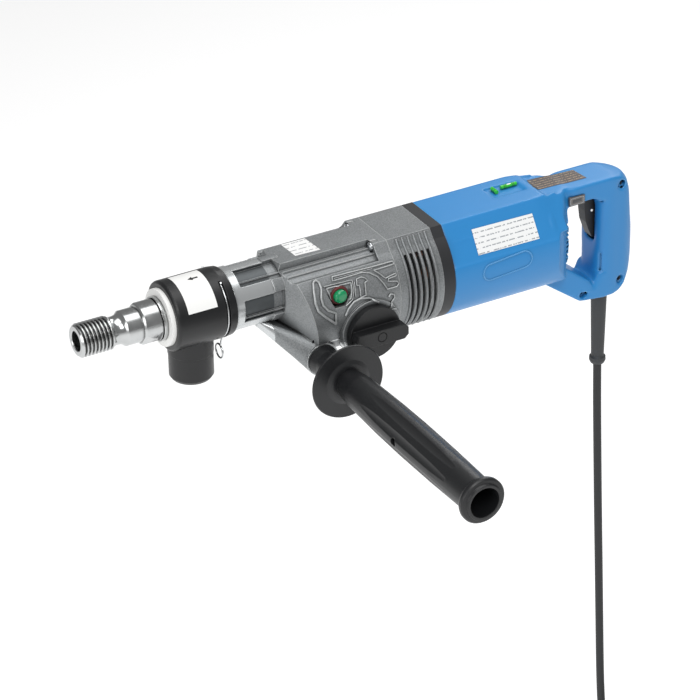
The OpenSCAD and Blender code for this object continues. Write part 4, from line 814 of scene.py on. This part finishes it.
# a second skin inside a flat side plane, where the wall is thinner than the remesh's grid
def innerSkin(side):
    look = housingLook["skin"]

    def corner(x, y, z):
        down, inward = look["down"][z > 0], look["deep"][y > 0]
        return (look["front"] if x > 0 else look["rear"],
                side * (look["edge"][0] + look["run"][0] * down - look["inward"][0] * inward),
                look["edge"][1] - look["run"][1] * down - look["inward"][1] * inward)

    skin = shaped(corner)
    cleanMesh(skin)
    return skin


skins = [innerSkin(1), innerSkin(-1)]
core = block(housingLook["core"]["size"], housingLook["core"]["at"])  # fills the lower grip
applyModifier(core, "BEVEL", width=housingLook["core"]["edge"] * mm, segments=5,
              limit_method="ANGLE")
vialFloor = block(housingLook["vialFloor"]["size"], housingLook["vialFloor"]["at"])
housing = joined(shells + [backing, core, vialFloor] + skins)
applyModifier(housing, "REMESH", mode="VOXEL", voxel_size=housingLook["voxel"] * mm, adaptivity=0)


# the barrel's upper sides draw in towards the width of the handle
def tapered(x, y, z):
    look = housingLook["taper"]
    if (look["rear"] - look["past"] < x < look["front"] and z > look["above"]
            and abs(y) > look["beside"]):
        part = eased((look["front"] - x) / (look["front"] - look["rear"]))
        wide = look["wide"] + (look["level"] - z) * look["slope"]
        narrow = wide - part * (look["less"] + look["lessRise"] * z)
        y = math.copysign(look["beside"] + (abs(y) - look["beside"])
                          * (narrow - look["beside"]) / (wide - look["beside"]), y)
    return x, y, z


# the rounding of the grip's inner edges runs on down into the opening's lower corner
def cornered(x, y, z):
    look = housingLook["corner"]
    if (look["x"][0] < x < look["x"][1] and look["z"][0] < z < look["z"][1]
            and look["beside"] < abs(y) < look["outer"]):
        sunk = max(0, look["radius"] ** 2 - (abs(y) - look["beside"]) ** 2)
        inset = look["radius"] - math.sqrt(sunk)
        backward, downward = x - look["front"] + inset, z - look["sill"] + inset
        if 0 < backward and 0 < downward and (x < look["clearX"] or z < look["clearZ"]):
            if backward < downward:
                x -= backward
            else:
                z -= downward
    return x, y, z


# the handle's back is rounded in plan, most at its top
def heeled(x, y, z):
    look = housingLook["heel"]
    if x < look["front"] and z > look["foot"]:
        part = eased((look["front"] - x) / look["deep"])
        bulge = look["bulge"] * min(1, (z - look["foot"]) / look["footRise"])
        bulge += look["crown"] * max(0, min(1, (z - look["crownFrom"]) / look["crownRise"]))
        x -= part * bulge * (1 - (y / look["half"]) ** 2)
        y *= 1 - look["pinch"] * part ** 3
    return x, y, z


for vertex in housing.data.vertices:
    vertex.co = Vector(heeled(*cornered(*tapered(*(vertex.co / mm))))) * mm
saddleZone = housing.vertex_groups.new(name="saddleZone")
for vertex in housing.data.vertices:
    x, y, z = vertex.co / mm
    near = max(max(0, 1 - abs(x - at) / reach) if z > above and abs(y) > beside else 0
               for at, reach, above, beside in housingLook["softened"])
    saddleZone.add([vertex.index], min(1, housingLook["softenedBy"] * near), "REPLACE")
applyModifier(housing, "SMOOTH", factor=0.5, iterations=housingLook["softenedTimes"],
              vertex_group="saddleZone")
grip = housing.vertex_groups.new(name="grip")
gripFrom, gripTo = housingLook["gripFrom"], housingLook["gripTo"]
for vertex in housing.data.vertices:
    share = (gripFrom - vertex.co.x / mm) / (gripFrom - gripTo)
    grip.add([vertex.index], max(0, min(1, share)), "REPLACE")
applyModifier(housing, "SMOOTH", factor=0.5, iterations=housingLook["softBody"])
applyModifier(housing, "SMOOTH", factor=0.5, iterations=housingLook["softGrip"],
              vertex_group="grip")
applyModifier(housing, "DECIMATE",
              ratio=min(1, housingLook["most"] / len(housing.data.polygons) / 1.9))


# a drill along Y, standing in the housing's left side
def drill(x, z, radius, deep, sides):
    deselect()
    bpy.ops.mesh.primitive_cylinder_add(
        vertices=sides, radius=radius * mm, depth=deep * mm,
        location=atMm((x, housingLook["drillY"], z)), rotation=(math.pi / 2, 0, 0))
    return bpy.context.object


drills = [drill(x, z, housingLook["holeRadius"], housingLook["holeDeep"], 40)
          for x, z in housingLook["holes"]]
for i in range(housingLook["notches"]):  # the row of notches in the opening's front edge
    z = housingLook["notchTop"] - i * housingLook["notchStep"]
    x = housingLook["notchX"] + abs(z - housingLook["notchMiddle"]) * housingLook["notchBow"]
    drills.append(drill(x, z, housingLook["notchRadius"], housingLook["notchDeep"], 16))
cutAway(housing, joined(drills))
keep(housing, "blueHousing", bluePolyamide, "machine_body", smooth=40,
     replaced=("motor_housing", "handle_left", "handle_right"))
print("housing rounded", len(housing.data.polygons))

screwLook = dict(
    handle=((8, 0), (8, 1.9), (11.6, 1.9), (11.6, 3.4), (13.4, 3.4), (13.9, 2.8), (13.9, 1.5),
            (12.6, 1.4), (12.6, 0)),
    case=((-121, 0), (-121, 4.5), (-117, 4.5), (-115.6, 3.9), (-114.9, 2.9), (-114.7, 1.9),
          (-116.6, 1.8), (-116.6, 0)),
    caseY=21, caseZ=24.8)
handleScrews = joined([turned(screwLook["handle"], "Y", (x, 0, z), sides=32)
                       for x, z in housingLook["holes"]])
keep(handleScrews, "handleScrewHeads", screwHeadInPaintedShade, "machine_body",
     replaced=("handle_screws",))
caseScrews = joined([turned(screwLook["case"], "X", (0, y, screwLook["caseZ"]), sides=32)
                     for y in (screwLook["caseY"], -screwLook["caseY"])])
keep(caseScrews, "caseScrewHeads", zincSteel, "machine_body")


# raised marks on the gear case: the thickness of each and its line, as (X, Z) in mm

markLook = dict(proud=0.55, gap=1.6, sideFrom=25, flank=50)
marks = dict(
    scaleBand=(1.5, [(-66.6, 16.1), (-87.0, 15.7), (-108.1, 15.2), (-129.4, 15.1), (-129.6, 13.0),
                     (-118.6, 12.7), (-108.3, 12.5)]),
    scaleCurve=(1.5, [(-66.6, 16.1), (-65.7, 13.3), (-76.2, 13.2), (-85.8, 13.3), (-96.5, 13.4),
                      (-103.2, 11.8), (-110.0, 7.4), (-114.4, 0.8), (-117.3, -5.3)]),
    scaleInner=(0.9, [(-67.8, 14.7), (-86.3, 14.5), (-107.4, 14.0)]),
    scaleTail=(1.4, [(-108.3, 12.5), (-113.1, 8.7), (-117.5, 4.3), (-128.8, 5.9), (-128.7, 3.9),
                     (-120.4, 3.3), (-119.4, 1.2), (-128.0, -0.6), (-129.6, -3.0), (-127.5, -5.3),
                     (-117.3, -5.3)]),
    ridgeOuter=(2.6, [(-47.0, 15.9), (-44.7, 9.1), (-43.7, 0.1), (-45.3, -7.5), (-52.3, -15.3),
                      (-62.1, -24.5)]),
    ridgeInner=(2.2, [(-52.9, 10.6), (-50.2, 2.9), (-50.8, -3.4), (-55.0, -9.2), (-62.5, -13.6),
                      (-62.1, -24.5)]),
    ridgeTop=(2.4, [(-47.0, 15.9), (-50.1, 16.8), (-52.4, 15.2), (-52.9, 10.6)]),
    windowRim=(1.6, [(-57.6, 9.1), (-70.1, 8.8), (-82.7, 8.5), (-82.0, 2.4), (-79.2, -4.1),
                     (-73.3, -7.4), (-65.5, -6.4), (-60.7, -1.5), (-59.2, 4.7), (-57.6, 9.1)]),
    rim=(1.2, [(-55.6, 11.0), (-84.6, 10.2), (-83.9, 2.0), (-80.6, -5.6), (-73.6, -9.6)]),
    hammer=(1.3, [(-89.1, 9.9), (-94.1, 10.4), (-97.7, 8.9), (-99.5, 6.4), (-96.3, 5.5),
                  (-94.9, -5.3), (-89.5, -5.7), (-90.4, 4.7), (-87.8, 4.9), (-89.1, 9.9)]),
    bar=(1.2, [(-86.2, 8.3), (-84.4, -3.8)]),
    two=(1.6, [(-117.6, -12.6), (-119.8, -10.4), (-123.2, -11.6), (-123.7, -15.0),
               (-120.3, -18.5), (-117.1, -24.6), (-124.1, -25.4)]),
    knobArc=(2.2, [(-72.2, -18.9), (-75.8, -12.7), (-81.7, -8.0), (-89.3, -6.6), (-97.6, -8.3),
                   (-105.6, -13.4)]))


# the point just above the case's left side at an X and Z
def onSide(x, z):
    for name in ("gear_case", "mid_case"):
        start = Vector(atMm((x, clear, z)))
        hit, spot = nodes[name].ray_cast(start, Vector((0, -1, 0)))[:2]
        if hit and spot.y > markLook["sideFrom"] * mm:
            return x, spot.y / mm + markLook["proud"], z
    return x, markLook["flank"], z  # a ray that slips between two triangles


# a line's corners with points between them, each laid on a surface
def alongSurface(corners, surface):
    line = []
    for (x, z), (nextX, nextZ) in zip(corners, corners[1:]):
        cuts = max(1, round(math.hypot(nextX - x, nextZ - z) / markLook["gap"]))
        line += [surface(x + (nextX - x) * i / cuts, z + (nextZ - z) * i / cuts)
                 for i in range(cuts)]
    return line


relief = [wire(alongSurface(corners, onSide) + [onSide(*corners[-1])], thick)
          for thick, corners in marks.values()]
keep(joined(relief), "caseRaisedMarks", markCast, "machine_body", smooth=50)

ribLook = dict(places=(-140.5, -146.5, -152.5, -158.5, -164.5, -170.5), thick=3.0, sink=0.35,
               top=61, bottom=-48, points=45, axisZ=-20)
ribs = []
for x in ribLook["places"]:
    line = []
    for i in range(ribLook["points"]):
        share = (ribLook["bottom"] - ribLook["top"]) * i / (ribLook["points"] - 1)
        angle = math.radians(ribLook["top"] + share)
        away = Vector((0, math.cos(angle), math.sin(angle)))
        start = Vector((x * mm, 0, ribLook["axisZ"] * mm)) + away * (clear * mm)
        hit, spot = nodes["mid_case"].ray_cast(start, -away)[:2]
        if hit:
            line.append((spot - away * ribLook["sink"] * mm) / mm)
    ribs.append(wire(line, ribLook["thick"]))
keep(joined(ribs), "ventRibs", midCast, "machine_body", smooth=50)
print("cast marks raised")


# labels

plateLook = dict(proud=0.12, outward=(0, 0.825, 0.566),
                 corners=((-217.7, 33.0, 20.1), (-217.0, 47.0, -0.4), (-283.2, 47.3, -1.0),
                          (-283.2, 33.5, 19.3)))
plate = film(plateLook["corners"])
for vertex in plate.data.vertices:
    vertex.co += Vector(plateLook["outward"]) * plateLook["proud"] * mm
keep(plate, "namePlate", plateFilm, "machine_body")


# a rule that lays a flat sheet, given as X and degrees, round the suction head
def roundHead(radius):
    def place(x, angle, level):
        return x, radius * math.sin(math.radians(angle)), radius * math.cos(math.radians(angle))

    return place


headLabel = dict(front=74, rear=45, low=-18, high=66.5, radius=33.04, thick=0.1)
label = film([(headLabel["front"], headLabel["low"], 0), (headLabel["front"], headLabel["high"], 0),
              (headLabel["rear"], headLabel["high"], 0), (headLabel["rear"], headLabel["low"], 0)],
             thick=headLabel["thick"], cuts=23, place=roundHead(headLabel["radius"]))
keep(label, "headLabel", whiteFilm, "suction_head")


# lays a flat sheet on the top of a piece, with room for the film's own thickness
def onTop(piece, room):
    def place(x, y, level):
        hit, spot = piece.ray_cast(Vector(atMm((x, y, clear))), Vector((0, 0, -1)))[:2]
        return x, y, spot.z / mm + room if hit else level

    return place


caseLabelLook = dict(room=0.1, at=(-57, -10),
                     corners=((-44.4, -15.5), (-45.4, 10.0), (-70.7, 11.2), (-68.8, -15.1)))
caseTop = onTop(nodes["gear_case"], caseLabelLook["room"])(*caseLabelLook["at"], 0)[2]
caseLabel = film([(x, y, caseTop) for x, y in caseLabelLook["corners"]])
print("label lies at", round(caseTop, 2))
keep(caseLabel, "caseTopLabel", markFilm, "machine_body")

stickerLook = dict(level=25.1, room=0.16,
                   corners=((-308.3, -16.0), (-301.5, 6.2), (-360.1, 7.6), (-357.8, -12.7)))
sticker = film([(x, y, stickerLook["level"]) for x, y in stickerLook["corners"]], cuts=23,
               place=onTop(housing, stickerLook["room"]))
keep(sticker, "handleTopSticker", darkFilm, "machine_body")

# push arrow on the head label, pointing at the tool: a wedge and a shaft, as X and degrees
arrow = dict(tip=61, neck=56.4, tail=51, middle=7, blunt=0.1, wing=4.6, shaft=1.7, radius=33.16,
             thick=0.05)
arrowParts = []
for front, rear, frontHalf, rearHalf in (
        (arrow["tip"], arrow["neck"], arrow["blunt"], arrow["wing"]),
        (arrow["neck"], arrow["tail"], arrow["shaft"], arrow["shaft"])):
    arrowParts.append(film([(front, arrow["middle"] - frontHalf, 0),
                            (front, arrow["middle"] + frontHalf, 0),
                            (rear, arrow["middle"] + rearHalf, 0),
                            (rear, arrow["middle"] - rearHalf, 0)],
                           thick=arrow["thick"], cuts=5, place=roundHead(arrow["radius"])))
keep(joined(arrowParts), "pushArrow", vialMark, "suction_head")
print("labels stuck on")


# small fittings

# bubble of the long vial, and the ring marks of both
vialLook = dict(
    x=-283.5, y=-9, crossX=-267, crossY=-7, z=29.7, bubbleY=0.3, bubbleZ=1.15,
    bubble=((-3.1, 0), (-2.8, 0.5), (-2.0, 0.85), (0, 1.0), (2.0, 0.85), (2.8, 0.5), (3.1, 0)),
    ring=((-0.22, 1.8), (-0.22, 1.96), (0.22, 1.96), (0.22, 1.8), (-0.22, 1.8)),
    ringsAlong=(-5.2, -3.6, 3.6, 5.2), ringsAcross=(-1.5, 1.5))
bubble = turned(vialLook["bubble"], "X", (vialLook["x"], vialLook["y"] + vialLook["bubbleY"],
                                          vialLook["z"] + vialLook["bubbleZ"]), sides=20)
keep(bubble, "vialBubble", bubbleWhite, "machine_body")
rings = [turned(vialLook["ring"], "X",
                (vialLook["x"] + along, vialLook["y"], vialLook["z"]), sides=24)
         for along in vialLook["ringsAlong"]]
rings += [turned(vialLook["ring"], "Y",
                 (vialLook["crossX"], vialLook["crossY"] + along, vialLook["z"]), sides=24)
          for along in vialLook["ringsAcross"]]
keep(joined(rings), "vialRings", vialMark, "machine_body")

# rim and tinted window of the load indicator
gauge = dict(left=-349.2, right=-333.8, low=7.3, high=14.7, corner=2.2, front=20.35, rim=1.0,
             inset=0.3, aside=2.6, below=2.0, above=1.9, proud=0.45, thick=0.3, round=1.2)
outline = []
for cornerX, cornerZ, inX, inZ, start in (
        (gauge["right"], gauge["high"], -1, -1, 0), (gauge["left"], gauge["high"], 1, -1, 90),
        (gauge["left"], gauge["low"], 1, 1, 180), (gauge["right"], gauge["low"], -1, 1, 270)):
    for i in range(6):
        angle = math.radians(start + 18 * i)
        outline.append((
            cornerX + inX * gauge["corner"] + (gauge["corner"] - gauge["inset"]) * math.cos(angle),
            gauge["front"],
            cornerZ + inZ * gauge["corner"] + (gauge["corner"] - gauge["inset"]) * math.sin(angle)))
keep(wire(outline, gauge["rim"], closed=True), "indicatorRim", rimSilver,
     "machine_body")
glassTop, glassFoot = gauge["high"] - gauge["below"], gauge["low"] + gauge["above"]
glassRight, glassLeft = gauge["right"] - gauge["aside"], gauge["left"] + gauge["aside"]
window = film([(x, gauge["front"] + gauge["proud"], z)
               for x, z in ((glassRight, glassTop), (glassRight, glassFoot),
                            (glassLeft, glassFoot), (glassLeft, glassTop))],
              thick=gauge["thick"])
applyModifier(window, "BEVEL", width=gauge["round"] * mm, segments=4, limit_method="ANGLE")
keep(window, "indicatorWindow", darkGlass, "machine_body")

# moulded rim of the bare badge seat
badge = dict(front=(-227.0, -18.0), rear=(-263.4, -14.9), radius=8.1, thick=1.5, proud=0.1)
heading = math.atan2(badge["rear"][1] - badge["front"][1], badge["rear"][0] - badge["front"][0])
outline = []
for centre, start in ((badge["rear"], -90), (badge["front"], 90)):
    for i in range(19):
        angle = heading + math.radians(start + 10 * i)
        outline.append((centre[0] + badge["radius"] * math.cos(angle),
                        centre[1] + badge["radius"] * math.sin(angle)))


# the point just above the housing's left side at an X and Z
def onHousingSide(x, z):
    spot = housing.ray_cast(Vector(atMm((x, clear, z))), Vector((0, -1, 0)))[1]
    return x, spot.y / mm + badge["proud"], z


seat = alongSurface(outline + [outline[0]], onHousingSide)
keep(wire(seat, badge["thick"], closed=True), "badgeSeatRim", bluePolyamide,
     "machine_body", smooth=50)

# domed ends of the mode bar
capLook = dict(
    at=(-69.5, 0, 0), start=37, dome=12, long=16,
    profile=((0, 0), (0, 6.1), (0.5, 6.5), (12.4, 6.5), (13.6, 6.35), (14.7, 5.8), (15.4, 4.8),
             (15.8, 3.4), (15.95, 1.8), (16, 0)))
for name, node, finish, slotName, side in (
        ("greenPush", "green_cap", greenCap, "green_gloss", 1),
        ("redPush", "red_cap", redCap, "red_gloss", -1)):
    low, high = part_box(node)
    longer = (high.y - low.y) / mm - capLook["long"]
    stations = [(side * (capLook["start"] + (along if along < capLook["dome"] else along + longer)),
                 radius) for along, radius in capLook["profile"]]
    cap = turned(stations, "Y", capLook["at"], sides=48)
    keep(cap, name, finish, "mode_bar", replaced=(node,))

# red seal round the green end of the mode bar, on the case's side
sealLook = dict(at=(-69.5, 0, 0), onX=-61.0, onZ=0, profile=(
    (-0.6, 6.9), (-0.6, 9.0), (0.9, 9.0), (1.7, 8.3), (1.7, 6.9), (-0.6, 6.9)))
floorAt = onSide(sealLook["onX"], sealLook["onZ"])[1] - markLook["proud"]
seal = turned([(floorAt + along, radius) for along, radius in sealLook["profile"]], "Y",
              sealLook["at"], sides=48)
keep(seal, "pushSeal", sealRed, "machine_body")

# pin in the trigger, and a thin black disc of painted shade where the knob has a screw hole
pinLook = dict(at=(-361.2, 0, -6.5),
               profile=((15.6, 0), (15.6, 1.2), (16.0, 1.2), (16.25, 0.9), (16.3, 0)))
holeShadeDiscLook = dict(at=(-100, 0, -40.5),
                  profile=((71.6, 4.9), (72.0, 4.9), (72.0, 4.2), (71.9, 4.1), (71.9, 0)))
pin = turned(pinLook["profile"], "Y", pinLook["at"], sides=20)
keep(pin, "triggerPin", acetalWhite, "trigger")
holeShadeDisc = turned(holeShadeDiscLook["profile"], "Y", holeShadeDiscLook["at"], sides=40)
keep(holeShadeDisc, "knobHoleShadeDisc", paintedHoleShade, "selector")
print("small fittings in place")


# floor and light

floorLook = dict(size=30, at=(-0.2, 0, -0.682), colour="#F7F7F7", roughness=0.9, glow=0.3)
deselect()
bpy.ops.mesh.primitive_plane_add(size=floorLook["size"], location=floorLook["at"])
floor = bpy.context.object
floor.name = "floor"
# matt white paper, lit faintly from below as on a light table
paper, tree, shader = newMaterial("paperMatt", Roughness=floorLook["roughness"])
shader.inputs["Base Color"].default_value = toLinear(floorLook["colour"])
shader.inputs["Emission Color"].default_value = (1, 1, 1, 1)
shader.inputs["Emission Strength"].default_value = floorLook["glow"]
floor.data.materials.append(paper)
floor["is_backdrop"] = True

studio = dict(  # places and sizes in metres, power in watts
    key=dict(at=(0.5, 2.2, 2.3), size=1.7, power=46),
    top=dict(at=(-0.3, 0.1, 2.4), size=2.0, power=30),
    rim=dict(at=(-1.9, -1.3, 1.5), size=1.3, power=20),
    front=dict(at=(2.2, 0.8, 0.6), size=1.3, power=14))
aimed, skyStrength = Vector((-0.12, 0.0, -0.03)), 0.27
for name, light in studio.items():
    deselect()
    bpy.ops.object.light_add(type="AREA", location=light["at"])
    lamp = bpy.context.object
    lamp.name = name
    lamp.data.shape = "SQUARE"
    lamp.data.size = light["size"]
    lamp.data.energy = light["power"]
    lamp.rotation_euler = (aimed - Vector(light["at"])).to_track_quat("-Z", "Y").to_euler()
world = bpy.data.worlds.new("studio")
bpy.context.scene.world = world
world.use_nodes = True
sky = world.node_tree.nodes["Background"]
sky.inputs["Color"].default_value = (1, 1, 1, 1)
sky.inputs["Strength"].default_value = skyStrength
bpy.context.scene.view_settings.view_transform = "Standard"
print("floor and light set")
low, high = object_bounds()
